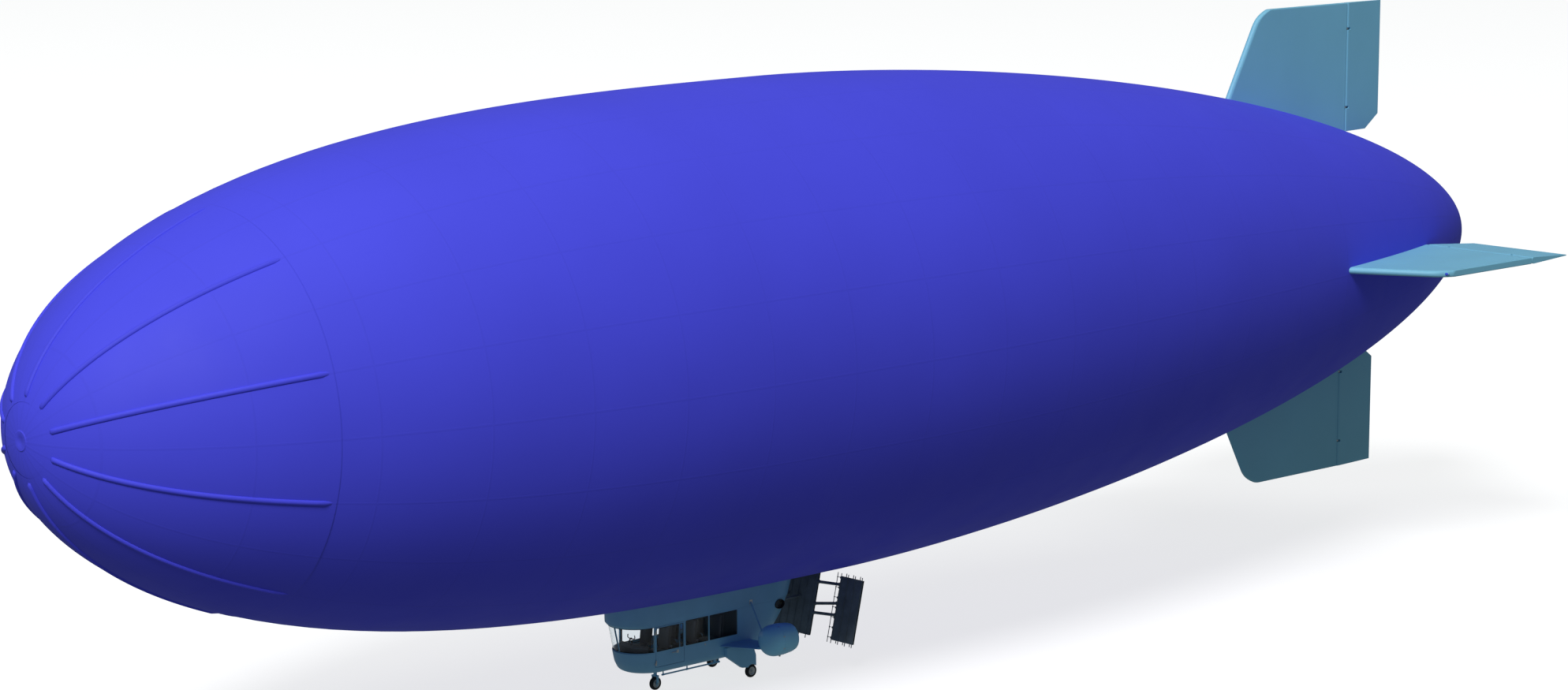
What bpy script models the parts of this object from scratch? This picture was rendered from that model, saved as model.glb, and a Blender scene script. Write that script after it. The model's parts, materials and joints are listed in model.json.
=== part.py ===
"""Non-rigid airship with a cabin slung under it, as a model at half the real size.

+X is forward, +Y port and +Z up, in metres. The origin is on the envelope's axis at the
centre of its gas, where the lift acts.
"""
from math import acos, cos, pi, radians, sin, sqrt

import bmesh
import bpy
from mathutils import Matrix, Vector

# Envelope: a body of revolution, round in the nose and drawn out at the tail
LENGTH = 30.0
RADIUS = 3.80
NOSE_X = 13.64
WIDEST = 0.45                   # fraction of the length from the nose
FORE_POWERS = (3.12, 1.92)      # inner and outer powers of the two ends' outlines
AFT_POWERS = (1.70, 1.74)
SKIN = 0.010
GAP = 0.0003                    # between pieces that touch
SIDES = 40                      # flats around the envelope
NOSE_RING = 0.0029              # stations of the nose battens' two ends
BATTEN_END = 0.100
MOORING_R = 0.130               # flat face at the nose, for a mast

# Nose battens
BATTENS = 10
BATTEN_WIDTH = 0.080
BATTEN_HEIGHT = 0.034

# Fins, all four alike but for the tips of the upper and lower ones
FIN_RISE = 0.066                # the tail's centre over the envelope's axis
FIN_TIP = 4.10
FIN_THICK = 0.110
FIN_FOOT = 1.60                 # inside the envelope, where the fin is cut to fit
HINGE_X = NOSE_X - 0.8979 * LENGTH
FIN_END_X = NOSE_X - 0.9287 * LENGTH
SURFACE_ROOT = 1.925
SURFACE_CHAMFER = 0.33
RUN_GAP = 0.006                 # running clearance between moving pieces
LUG_R = 0.030
PIN_R = 0.012
LUG_HIGH = 0.030

# Cabin: levels from the belly up, as (height, bow x, tail x, half width)
HALF_WIDTH = 0.400
WALL = 0.012
BOW_ROUND = 0.40
TAIL_ROUND = 0.60
SILL_Z = -4.530
HEAD_Z = -4.155
RAIL = 0.018
HULL_TOP = SILL_Z - RAIL
ROOF_FOOT = HEAD_Z + RAIL
TRIM = 0.040                    # what a shell is made too long, and then cut off flat
HULL_LEVELS = (
    (-4.881, 3.30, 1.26, 0.285),
    (-4.867, 3.37, 1.12, 0.345),
    (-4.835, 3.43, 1.00, 0.384),
    (-4.780, 3.465, 0.87, HALF_WIDTH),
    (-4.710, 3.50, 0.76, HALF_WIDTH),
    (HULL_TOP + TRIM, 3.57, 0.51, HALF_WIDTH),
)
FRAME_LEVELS = (
    (HULL_TOP - TRIM, 3.514, 0.58, HALF_WIDTH),
    (-4.368, 3.567, 0.395, HALF_WIDTH),
    (ROOF_FOOT + TRIM, 3.630, 0.245, HALF_WIDTH),
)
ROOF_LEVELS = (
    (ROOF_FOOT, 3.640, 0.265, HALF_WIDTH),
    (-4.095, 3.680, 0.240, HALF_WIDTH),
    (-3.700, 3.690, 0.130, HALF_WIDTH),
)
DECK_Z = -3.835                 # ceiling of the cabin

# Window posts of each side, as the x of the post's two faces
POST_AHEAD_OF_DOOR = (3.156, 3.182)
POST_BEHIND_DOOR = (2.555, 2.585)
POST_REAR = (2.075, 2.105)
WINDOWS_END_X = 1.52
CENTRE_POST = 0.026

# Doors
DOOR_GAP = 0.005
DOOR_STILE = 0.018
DOOR_MULLION_X = 2.678
DOOR_FOOT_Z = -4.765
DOOR_HINGE_X = POST_AHEAD_OF_DOOR[0] - DOOR_GAP / 2
DOOR_HINGE_Y = HALF_WIDTH + 0.011
DOOR_PIN_R = 0.005
DOOR_KNUCKLE_R = 0.009
DOOR_KNUCKLE = 0.036
DOOR_HINGE_HEIGHTS = (-4.700, -4.235)
DOOR_HANDLE = ((2.72, -4.600), (2.84, -4.578))      # x and z of two corners

# Oval duct in each side of the cabin's tail, in front of the boards
DUCT_X = 0.630
DUCT_Z = -4.212
DUCT_HALF = (0.088, 0.066)      # along x and z

# Inside the cabin
FLOOR_TOP = -4.763
FLOOR_THICK = 0.010
FLOOR_BOW_X = 3.452
BULKHEAD_X = 1.512
SEAT_ROWS = (("pilot", 2.80), ("middle", 2.27), ("rear", 1.74))
SEAT_Y = 0.205
SEAT_WIDE = 0.235
# a seat seen from the side, as (x from its back, height), from the pedestal's foot round
SEAT_OUTLINE = (
    (0.10, 0.0), (0.24, 0.0), (0.23, 0.13), (0.31, 0.14), (0.31, 0.21),
    (0.09, 0.20), (0.04, 0.56), (-0.02, 0.56), (0.0, 0.14), (0.11, 0.13),
)
DASH_BOW_X = 3.425
DASH_BACK_X = 3.22
DASH_TOP = -4.478
COLUMN_R = 0.010
# a control column's path, as (x, height over the floor)
COLUMN_PATH = ((3.19, 0.0), (3.19, 0.12), (3.16, 0.26), (3.15, 0.30), (3.12, 0.33))

# Engine pods on stub wings
POD_X = 1.277
POD_Y = 1.020
POD_Z = -4.548
POD_LONG = 0.540
POD_R = 0.240
POD_WALL = 0.012
POD_SIDES = 20
POD_TAIL_R = 0.205
FIREWALL_X = 0.010              # from the pod's middle
FAN_X = -0.150
FAN_R = 0.190
FAN_BLADES = 6
HUB_R = 0.045
HUB_HALF = 0.038
SHAFT_R = 0.015
# a blade's sections, as (reach, chord, pitch in degrees)
BLADE_SECTIONS = ((0.030, 0.050, 55), (0.090, 0.064, 42), (FAN_R, 0.050, 24))
ENGINE_SIZE = (0.20, 0.22, 0.18)
WING_Z = -4.665
WING_THICK = 0.056
WING_SIDES = 14
# the wing's two ends, as (y, front x, chord)
WING_SECTIONS = ((HALF_WIDTH + GAP, 1.880, 0.66), (POD_Y - 0.10, 1.560, 0.44))
STRUT_R = 0.011
STRUT_ENDS = ((1.235, HALF_WIDTH - 0.02, -4.080), (1.440, POD_Y - 0.11, -4.500))

# Wheels, all on one floor
FLOOR_Z = -5.241
TYRE_R = 0.102
TYRE_WIDE = 0.072
RIM_R = 0.060
RIM_SIDES = 14
TYRE_SIDES = 24
AXLE_R = 0.012
AXLE_Z = FLOOR_Z + TYRE_R
MAIN_X = 1.271
MAIN_Y = 0.432
NOSE_WHEEL_X = 2.819
WHEEL_CLEAR = 0.008             # between a tyre and what it runs past
LEG_THICK = 0.068
ARM_THICK = 0.016
POST_LONG = 0.050
STEM_R = 0.016

# Rail under the keel
BELLY_RAIL_X = (1.511, 2.690)
BELLY_RAIL_Z = -5.034
BELLY_RAIL_POSTS = (2.660, 2.180, 1.540)

# Array panels behind the cabin, in a plane that leans aft at the top
PANEL_FOOT = (0.062, -4.785)    # x and z of the plane's lower edge
PANEL_LEAN = 0.228 / 0.985
PANEL_THICK = 0.030
CENTRE_PANEL_HALF = 0.465
SIDE_PANEL_Y = (0.933, 1.413)
SIDE_PANEL_TOP = -3.815
CROSS_TUBE_R = 0.024
# heights of the cross tubes at the centre panel and at the side panel
CROSS_TUBES = ((-3.972, -3.939), (-4.302, -4.221), (-4.440, -4.400))
ROD_R = 0.007                   # upright rods on the boards
ROD_REACH = 0.045               # how far they stand out over and under a board
ROD_SPACING = 0.154
EDGE_ROD_IN = 0.082             # thin upright inboard of each side board
RUNG_R = 0.005
RUNGS = 7

COLOURS = {
    # name: (colour, roughness, metallic)
    "envelope_blue": ((0.058, 0.056, 0.60), 0.45, 0.0),
    "fin_blue": ((0.10, 0.27, 0.44), 0.50, 0.0),
    "cabin_blue": ((0.10, 0.27, 0.44), 0.40, 0.0),
    "dark_grey": ((0.014, 0.020, 0.030), 0.60, 0.0),
    "rubber": ((0.012, 0.012, 0.014), 0.85, 0.0),
    "bare_metal": ((0.36, 0.38, 0.40), 0.35, 1.0),
    "engine_grey": ((0.10, 0.11, 0.12), 0.50, 0.5),
    "seat_cloth": ((0.030, 0.038, 0.055), 0.90, 0.0),
}


def clear_scene():
    for thing in list(bpy.data.objects):
        bpy.data.objects.remove(thing, do_unlink=True)


def collection(name):
    group = bpy.data.collections.new(name)
    bpy.context.scene.collection.children.link(group)
    return group


def make_material(name):
    colour, roughness, metallic = COLOURS[name]
    material = bpy.data.materials.new(name)
    material.use_nodes = True
    shader = material.node_tree.nodes["Principled BSDF"]
    shader.inputs["Base Color"].default_value = (*colour, 1.0)
    shader.inputs["Roughness"].default_value = roughness
    shader.inputs["Metallic"].default_value = metallic
    return material


clear_scene()
PARTS = collection("airship")
CUTTERS = collection("cutters")
MATERIALS = {name: make_material(name) for name in COLOURS}


def link(mesh, name, finish=None):
    """An object of the part where a finish is given, and otherwise a cutter."""
    thing = bpy.data.objects.new(name, mesh)
    if finish is None:
        CUTTERS.objects.link(thing)
        thing.hide_render = True
        thing.display_type = "WIRE"
    else:
        PARTS.objects.link(thing)
        mesh.materials.append(MATERIALS[finish])
    return thing


def from_bmesh(bm, name, finish=None):
    mesh = bpy.data.meshes.new(name)
    bm.to_mesh(mesh)
    bm.free()
    return link(mesh, name, finish)


def pivot(thing, point):
    """Puts the object's origin at a point and leaves its mesh where it is."""
    thing.data.transform(Matrix.Translation(-Vector(point)))
    thing.location = point
    return thing


def combine(target, tool, operation="DIFFERENCE"):
    step = target.modifiers.new(operation.lower(), "BOOLEAN")
    step.operation = operation
    step.solver = "EXACT"
    step.object = tool
    return target


def box(name, low, high, finish=None):
    bm = bmesh.new()
    middle = (Vector(low) + Vector(high)) / 2
    size = Vector(high) - Vector(low)
    bmesh.ops.create_cube(bm, size=1.0, matrix=Matrix.Translation(middle) @ Matrix.Diagonal((*size, 1)))
    return from_bmesh(bm, name, finish)


def rod(name, start, end, radius, finish=None, sides=12):
    """A cylinder from one point to another."""
    start, end = Vector(start), Vector(end)
    run = end - start
    turn = run.to_track_quat("Z", "Y").to_matrix().to_4x4()
    bm = bmesh.new()
    bmesh.ops.create_cone(
        bm, cap_ends=True, segments=sides, radius1=radius, radius2=radius, depth=run.length,
        matrix=Matrix.Translation((start + end) / 2) @ turn)
    return from_bmesh(bm, name, finish)


def add(target, tools):
    for tool in tools:
        combine(target, tool, "UNION")
    return target


def cut(target, tools):
    for tool in tools:
        combine(target, tool)
    return target


def loft(name, rings, finish=None, caps=(True, True)):
    """Joins closed rings of equally many points, which run left-handed round the way they follow."""
    bm = bmesh.new()
    loops = [[bm.verts.new(point) for point in ring] for ring in rings]
    count = len(loops[0])
    for near, far in zip(loops, loops[1:]):
        for i in range(count):
            j = (i + 1) % count
            bm.faces.new((near[i], near[j], far[j], far[i]))
    bmesh.ops.triangulate(bm, faces=bm.faces[:])
    if caps[0]:
        bm.faces.new(loops[0][::-1])
    if caps[1]:
        bm.faces.new(loops[-1])
    return from_bmesh(bm, name, finish)


def slab(name, outline, low, high, finish=None):
    """A flat outline in x and y, drawn up from one height to another."""
    return loft(name, [[(x, y, z) for x, y in outline] for z in (low, high)], finish)


def turned(name, profile, sides, finish=None, closed=False):
    """Turns a profile of (radius, height) round +Z, its outer side running down."""
    mesh = bpy.data.meshes.new(name)
    edges = [(i, i + 1) for i in range(len(profile) - 1)]
    if closed:
        edges.append((len(profile) - 1, 0))
    mesh.from_pydata([(r, 0.0, z) for r, z in profile], edges, [])
    thing = link(mesh, name, finish)
    screw = thing.modifiers.new("turn", "SCREW")
    screw.angle = 2 * pi
    screw.steps = sides
    screw.render_steps = sides
    screw.use_merge_vertices = True
    screw.merge_threshold = 0.0001
    return thing


def freeze(thing):
    """Turns an object's modifiers and placing into plain mesh data, in world space."""
    graph = bpy.context.evaluated_depsgraph_get()
    graph.update()
    mesh = bpy.data.meshes.new_from_object(thing.evaluated_get(graph))
    mesh.transform(thing.matrix_world)
    thing.modifiers.clear()
    thing.data = mesh
    thing.matrix_world = Matrix.Identity(4)
    return thing


def mirrored(thing, name):
    """A copy of a port piece on the starboard side."""
    graph = bpy.context.evaluated_depsgraph_get()
    graph.update()
    mesh = bpy.data.meshes.new_from_object(thing.evaluated_get(graph))
    mesh.transform(thing.matrix_world)
    mesh.transform(Matrix.Diagonal((1, -1, 1, 1)))
    mesh.flip_normals()
    twin = bpy.data.objects.new(name, mesh)
    PARTS.objects.link(twin)
    x, y, z = thing.location
    return pivot(twin, (x, -y, z))


def station(fraction):
    return NOSE_X - fraction * LENGTH


def envelope_radius(fraction):
    if fraction < WIDEST:
        inner, outer = FORE_POWERS
        along = (WIDEST - fraction) / WIDEST
    else:
        inner, outer = AFT_POWERS
        along = (fraction - WIDEST) / (1 - WIDEST)
    return RADIUS * max(1 - along ** inner, 0) ** (1 / outer)


def envelope_point(fraction):
    return Vector((station(fraction), 0, envelope_radius(fraction)))


def envelope_stations():
    """Stations close together at the round ends, with one at each end of the battens."""
    nose = [(sqrt(NOSE_RING) + (sqrt(BATTEN_END) - sqrt(NOSE_RING)) * i / 7) ** 2 for i in range(8)]
    fore = [BATTEN_END + (WIDEST - BATTEN_END) * sin(pi / 2 * i / 7) for i in range(1, 8)]
    aft = [WIDEST + (1 - WIDEST) * sin(pi / 2 * i / 13) for i in range(1, 14)]
    return nose + fore + aft


def lay_along_x(thing):
    """Turns a piece whose axis is +Z so that its top points forward."""
    thing.rotation_euler = (0, pi / 2, 0)
    bpy.context.view_layer.update()
    return thing


def envelope():
    profile = [(envelope_radius(t), station(t)) for t in envelope_stations()]
    profile[-1] = (0.0, station(1.0))
    skin = lay_along_x(turned("envelope", profile, SIDES, "envelope_blue"))
    wall = skin.modifiers.new("wall", "SOLIDIFY")
    wall.thickness = SKIN
    wall.offset = -1.0
    wall.use_even_offset = True
    return skin


def envelope_cutter():
    """The envelope's outer form grown by a touching gap."""
    grow = 2 * GAP
    profile = [(envelope_radius(t) + grow, station(t)) for t in envelope_stations()]
    profile[-1] = (0.0, station(1.0) - grow)
    profile.insert(0, (0.0, station(NOSE_RING)))
    return lay_along_x(turned("envelope_cutter", profile, SIDES))


def nose_cap():
    """Closes the skin's nose opening and carries the flat face that a mast holds."""
    edge = envelope_radius(NOSE_RING) - 2 * GAP
    rim = station(NOSE_RING)
    front = [(0.0, NOSE_X), (MOORING_R, NOSE_X), (0.3, station(0.0010)), (edge, rim)]
    back = [(edge - 0.0045, rim - SKIN), (0.0, rim - SKIN)]
    return lay_along_x(turned("nose_cap", front + back, SIDES, "envelope_blue"))


def nose_battens():
    """Flat stiffeners over the nose, on one thin ring."""
    stations = [t for t in envelope_stations() if t <= BATTEN_END + 1e-6]
    first, second = [Vector((envelope_radius(t), station(t))) for t in stations[:2]]
    along = (second - first).normalized()
    out = Vector((-along.y, along.x))
    near, far = (first + along * reach + out * 3 * GAP for reach in (0.002, 0.047))
    top = out * BATTEN_HEIGHT * 0.4
    ring = turned("nose_battens", [tuple(p) for p in (near + top, far + top, far, near)],
                  SIDES, "envelope_blue", closed=True)
    return lay_along_x(ring), stations


def batten(name, stations, angle):
    """One stiffener as a loft of small rectangles square to the skin."""
    rings = []
    half = BATTEN_WIDTH / 2
    for i, t in enumerate(stations):
        before, after = stations[max(i - 1, 0)], stations[min(i + 1, len(stations) - 1)]
        run = (envelope_point(after) - envelope_point(before)).normalized()
        out = Vector((run.z, 0, -run.x))
        base = envelope_point(t) + out * 3 * GAP
        top = base + out * BATTEN_HEIGHT
        side = Vector((0, half, 0))
        rings.append([base - side, base + side, top + side * 0.8, top - side * 0.8])
    spin = Matrix.Rotation(angle, 4, "X")
    rings = [[spin @ point for point in ring] for ring in rings]
    return loft(name, rings)


def fin_leading_x(span, tip):
    """Leading edge: swept straight, then a rounded corner to the tip."""
    low = Vector((station(0.7916), 2.715))
    corner = Vector((station(0.8150), 3.970))
    slope = (corner.x - low.x) / (corner.y - low.y)
    x = low.x + slope * (span - low.y)
    bend = tip - 0.30
    if span > bend:
        x -= 0.21 * ((span - bend) / (tip - bend)) ** 3
    return x


def fin_section(front, back):
    """A plate's cross-section: a half round leading edge and flat sides."""
    half = FIN_THICK / 2
    turn = [pi / 2 * i / 4 for i in range(1, 5)]
    nose = [(front - half * 1.3 * (1 - cos(a)), half * sin(a)) for a in turn]
    upper = nose + [(back, half)]
    lower = [(x, -y) for x, y in reversed(upper)]
    return [(front, 0.0)] + upper + lower


def fin(name, turn, tip, rise, cutter):
    back = HINGE_X + FIN_THICK / 2 + RUN_GAP
    spans = (FIN_FOOT, 2.715, tip - 0.30, tip - 0.18, tip - 0.08, tip - 0.03, tip)
    rings = [[(x, y, s) for x, y in fin_section(fin_leading_x(s, tip), back)] for s in spans]
    plate = loft(name, rings, "fin_blue")
    lugs = [lug(f"{name}_lug_{i}", s) for i, s in enumerate(lug_spans(tip))]
    add(plate, lugs)
    placing = Matrix.Translation((0, 0, rise)) @ Matrix.Rotation(turn, 4, "X")
    for thing in [plate] + lugs:
        thing.matrix_world = placing
    bpy.context.view_layer.update()
    freeze(plate)
    return cut(plate, [cutter])


def lug_spans(tip):
    return SURFACE_ROOT + 0.42, tip - 0.45


def lug(name, span):
    """A plate from the fin that carries the hinge pin."""
    low, high = span - LUG_HIGH / 2, span + LUG_HIGH / 2
    eye = rod(name, (HINGE_X, 0, low), (HINGE_X, 0, high), LUG_R)
    arm = box(f"{name}_arm", (HINGE_X, -LUG_R * 0.8, low), (HINGE_X + 0.09, LUG_R * 0.8, high))
    bore = rod(f"{name}_bore", (HINGE_X, 0, low - 0.01), (HINGE_X, 0, high + 0.01), PIN_R + 2 * GAP)
    add(eye, [arm])
    cut(eye, [bore])
    return freeze(eye)


def control_surface(name, turn, tip, rise):
    """A wedge that swings on the fin's lugs."""
    half = FIN_THICK / 2
    edge = 0.008
    nose = [(HINGE_X + half * cos(a), half * sin(a)) for a in (pi / 2 * i / 4 for i in range(-4, 5))]
    section = nose + [(FIN_END_X, edge), (FIN_END_X, -edge)]
    chamfered = FIN_END_X + 0.02
    rings = [[(max(x, chamfered + SURFACE_CHAMFER), y, SURFACE_ROOT) for x, y in section],
             [(x, y, SURFACE_ROOT + SURFACE_CHAMFER * 0.75) for x, y in section],
             [(x, y, tip) for x, y in section]]
    wedge = loft(name, rings, "fin_blue")
    slots, pins = [], []
    for i, s in enumerate(lug_spans(tip)):
        reach = LUG_HIGH / 2 + RUN_GAP
        back = HINGE_X - LUG_R - 2 * RUN_GAP
        slots.append(box(f"{name}_slot_{i}", (back, -0.1, s - reach), (HINGE_X + 0.1, 0.1, s + reach)))
        pins.append(rod(f"{name}_pin_{i}", (HINGE_X, 0, s - 0.06), (HINGE_X, 0, s + 0.06), PIN_R))
    cut(wedge, slots)
    add(wedge, pins)
    freeze(wedge)
    wedge.data.transform(Matrix.Translation((-HINGE_X, 0, 0)))
    placing = Matrix.Translation((HINGE_X, 0, rise)) @ Matrix.Rotation(turn, 4, "X")
    wedge.matrix_world = placing
    return wedge


def tail(cutter):
    surfaces = (
        # name of the moving piece, name of the fin, turn about +X, tip, rise
        ("rudder_top", "fin_top", 0.0, FIN_TIP + FIN_RISE, 0.0),
        ("rudder_bottom", "fin_bottom", pi, FIN_TIP - FIN_RISE, 0.0),
        ("elevator_port", "fin_port", -pi / 2, FIN_TIP, FIN_RISE),
        ("elevator_starboard", "fin_starboard", pi / 2, FIN_TIP, FIN_RISE),
    )
    for moving, fixed, turn, tip, rise in surfaces:
        fin(fixed, turn, tip, rise, cutter)
        control_surface(moving, turn, tip, rise)


def bow_curve(bow, half, depth=BOW_ROUND, steps=7):
    """A quarter of an ellipse from the bow's point to the port side."""
    turn = [pi / 2 * i / steps for i in range(steps + 1)]
    return [(bow - depth * (1 - cos(a)), half * sin(a)) for a in turn]


def tail_curve(end, half, steps=5):
    """A blunter quarter from the port side to the tail's point."""
    turn = [pi / 2 * i / steps for i in range(steps, -1, -1)]
    return [(end + TAIL_ROUND * (1 - cos(a) ** 0.8), half * sin(a) ** 0.8) for a in turn]


def cabin_ring(level):
    height, bow, end, half = level
    port = bow_curve(bow, half) + tail_curve(end, half)
    starboard = [(x, -y) for x, y in reversed(port[1:-1])]
    return [(x, y, height) for x, y in port + starboard]


def shell(name, levels, low, high, finish, caps=(False, False)):
    """An open skin through the levels, with its wall on the inside, cut flat at two heights."""
    skin = loft(name, [cabin_ring(level) for level in levels], finish, caps)
    wall = skin.modifiers.new("wall", "SOLIDIFY")
    wall.thickness = WALL
    wall.offset = -1.0
    wall.use_even_offset = True
    freeze(skin)
    trims = [box(f"{name}_trim_{i}", (-1, -1, z), (5, 1, z + 1)) for i, z in enumerate((low - 1, high))]
    return cut(skin, trims)


def both_sides(name, x_low, x_high, z_low, z_high, y_low=0.02):
    """Two boxes that cut the port and starboard walls alike."""
    return [box(f"{name}_port", (x_low, y_low, z_low), (x_high, 1, z_high)),
            box(f"{name}_starboard", (x_low, -1, z_low), (x_high, -y_low, z_high))]


def door_hole():
    low = POST_BEHIND_DOOR[1]
    high = POST_AHEAD_OF_DOOR[0]
    return both_sides("door_hole", low, high, DOOR_FOOT_Z - DOOR_GAP, ROOF_FOOT - RAIL, 0.3)


def on_door_axis(name, low, high, radius):
    return rod(name, (DOOR_HINGE_X, DOOR_HINGE_Y, low), (DOOR_HINGE_X, DOOR_HINGE_Y, high), radius)


def lower_hull():
    hull = shell("hull_lower", HULL_LEVELS, HULL_LEVELS[0][0] - 0.1, HULL_TOP, "cabin_blue", (True, False))
    cut(hull, door_hole())
    return add(hull, fixed_knuckles(0))


def fixed_knuckles(which):
    """The hull's half of a hinge: a barrel under the door's own, a leaf ahead of it and the pin."""
    top = DOOR_HINGE_HEIGHTS[which] - GAP
    low = top - DOOR_KNUCKLE
    barrel = on_door_axis(f"fixed_barrel_{which}", low, top, DOOR_KNUCKLE_R)
    leaf = box(f"fixed_leaf_{which}", (DOOR_HINGE_X, HALF_WIDTH - 0.010, low),
               (DOOR_HINGE_X + 0.022, HALF_WIDTH + 0.010, top))
    pin = on_door_axis(f"fixed_pin_{which}", low + 0.01, top + DOOR_KNUCKLE, DOOR_PIN_R)
    freeze(add(barrel, [leaf, pin]))
    twin = link(barrel.data.copy(), f"fixed_barrel_twin_{which}")
    twin.data.transform(Matrix.Diagonal((1, -1, 1, 1)))
    twin.data.flip_normals()
    return [barrel, twin]


def cabin_frame():
    """Window posts between two rails, with the closed walls behind the windows."""
    frame = shell("cabin_frame", FRAME_LEVELS, HULL_TOP + GAP, ROOF_FOOT - GAP, "cabin_blue")
    ahead, behind, rear = POST_AHEAD_OF_DOOR, POST_BEHIND_DOOR, POST_REAR
    cut(frame, both_sides("windscreen", ahead[1], 5.0, SILL_Z, HEAD_Z, CENTRE_POST / 2))
    cut(frame, both_sides("side_window", rear[1], behind[0], SILL_Z, HEAD_Z))
    cut(frame, both_sides("rear_window", WINDOWS_END_X, rear[0], SILL_Z, HEAD_Z))
    cut(frame, door_hole())
    cut(frame, [oval_hole(f"duct_{i}", side) for i, side in enumerate((1, -1))])
    return add(frame, fixed_knuckles(1))


def oval_hole(name, side, sides=20):
    """An oval bar that cuts a duct's mouth out of one side of the tail."""
    rings = []
    for y in (0.25, 0.50) if side > 0 else (-0.50, -0.25):
        turn = [2 * pi * i / sides for i in range(sides)]
        rings.append([(DUCT_X + DUCT_HALF[0] * sin(a), y, DUCT_Z + DUCT_HALF[1] * cos(a)) for a in turn])
    return loft(name, rings)


def roof(cutter):
    """The fairing between the windows and the envelope, with the cabin's ceiling in it."""
    block = loft("roof_fairing", [cabin_ring(level) for level in ROOF_LEVELS], "cabin_blue")
    inside = []
    for height, level in ((ROOF_FOOT - 0.05, ROOF_LEVELS[0]), (DECK_Z, ROOF_LEVELS[2])):
        bow, end, half = level[1:]
        inside.append(cabin_ring((height, bow - 0.030, end + 0.030, half - WALL)))
    return cut(block, [loft("roof_inside", inside), cutter])


def door_port():
    """A flush panel with a window above the sill, hinged at its front edge."""
    low_x = POST_BEHIND_DOOR[1] + DOOR_GAP
    high_x = POST_AHEAD_OF_DOOR[0] - DOOR_GAP
    top = ROOF_FOOT - RAIL - DOOR_GAP
    low, high = (low_x, HALF_WIDTH - WALL, DOOR_FOOT_Z), (high_x, HALF_WIDTH, top)
    panel = box("door_port", low, high, "cabin_blue")
    half = DOOR_STILE / 2
    narrow = (low_x + DOOR_STILE, DOOR_MULLION_X - half)
    wide = (DOOR_MULLION_X + half, high_x - DOOR_STILE)
    for near, far in (narrow, wide):
        cut(panel, [box("pane", (near, 0.3, SILL_Z), (far, 0.5, top - DOOR_STILE))])
    for height in DOOR_HINGE_HEIGHTS:
        over = height + DOOR_KNUCKLE
        barrel = on_door_axis("door_barrel", height, over, DOOR_KNUCKLE_R)
        leaf = box("door_leaf", (high_x - 0.016, HALF_WIDTH - 0.004, height),
                   (DOOR_HINGE_X, HALF_WIDTH + 0.010, over))
        bore = on_door_axis("door_bore", height - 0.01, over + 0.01, DOOR_PIN_R + 2 * GAP)
        add(barrel, [leaf])
        cut(barrel, [bore])
        add(panel, [freeze(barrel)])
    (back_x, low_z), (front_x, high_z) = DOOR_HANDLE
    handle = box("door_handle", (back_x, HALF_WIDTH - 0.004, low_z), (front_x, HALF_WIDTH + 0.016, high_z))
    add(panel, [handle])
    freeze(panel)
    return pivot(panel, (DOOR_HINGE_X, DOOR_HINGE_Y, SILL_Z))


def floor_outline(bow, half, back):
    port = bow_curve(bow, half) + [(back, half)]
    starboard = [(x, -y) for x, y in reversed(port[1:])]
    return port + starboard


def dashboard_outline(half):
    """The bow's curve, cut off straight across in front of the pilots."""
    reach = acos(1 - (DASH_BOW_X - DASH_BACK_X) / BOW_ROUND)
    turn = [reach * i / 6 for i in range(-6, 7)]
    return [(DASH_BOW_X - BOW_ROUND * (1 - cos(a)), half * sin(a)) for a in turn]


def cabin_inside():
    half = HALF_WIDTH - WALL - 2 * GAP
    under = FLOOR_TOP - FLOOR_THICK
    slab("cabin_floor", floor_outline(FLOOR_BOW_X, half, BULKHEAD_X), under, FLOOR_TOP, "dark_grey")
    slab("dashboard", dashboard_outline(half - 0.035), FLOOR_TOP + GAP, DASH_TOP, "dark_grey")
    box("aft_bulkhead", (BULKHEAD_X - WALL - GAP, -half, under), (BULKHEAD_X - GAP, half, DECK_Z - GAP),
        "dark_grey")
    for row, back_x in SEAT_ROWS:
        for side, sign in (("port", 1), ("starboard", -1)):
            seat(f"{row}_seat_{side}", back_x, sign * SEAT_Y)
    for side, sign in (("port", 1), ("starboard", -1)):
        control_column(f"control_column_{side}", sign * SEAT_Y)


def seat(name, back_x, middle_y):
    """A pedestal, a cushion and a leaning back, seen from the side and drawn across."""
    foot = FLOOR_TOP + GAP
    rings = [[(back_x + x, y, foot + z) for x, z in SEAT_OUTLINE]
             for y in (middle_y + SEAT_WIDE / 2, middle_y - SEAT_WIDE / 2)]
    return loft(name, rings, "seat_cloth")


def tube(name, points, radius, finish, resolution=3):
    """A bent tube as mesh, its ends capped."""
    curve = bpy.data.curves.new(name, "CURVE")
    curve.dimensions = "3D"
    curve.bevel_depth = radius
    curve.bevel_resolution = resolution
    curve.use_fill_caps = True
    line = curve.splines.new("POLY")
    line.points.add(len(points) - 1)
    for spot, point in zip(line.points, points):
        spot.co = (*point, 1.0)
    guide = bpy.data.objects.new(name + "_path", curve)
    CUTTERS.objects.link(guide)
    graph = bpy.context.evaluated_depsgraph_get()
    graph.update()
    mesh = bpy.data.meshes.new_from_object(guide.evaluated_get(graph))
    bpy.data.objects.remove(guide, do_unlink=True)
    bm = bmesh.new()
    bm.from_mesh(mesh)
    bmesh.ops.remove_doubles(bm, verts=bm.verts, dist=0.00005)
    bmesh.ops.recalc_face_normals(bm, faces=bm.faces)
    bm.to_mesh(mesh)
    bm.free()
    mesh.materials.clear()
    return link(mesh, name, finish)


def control_column(name, y):
    """A post from the floor with a grip that reaches back to the pilot."""
    points = [(x, y, FLOOR_TOP + GAP + height) for x, height in COLUMN_PATH]
    return tube(name, points, COLUMN_R, "dark_grey", 1)


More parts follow.
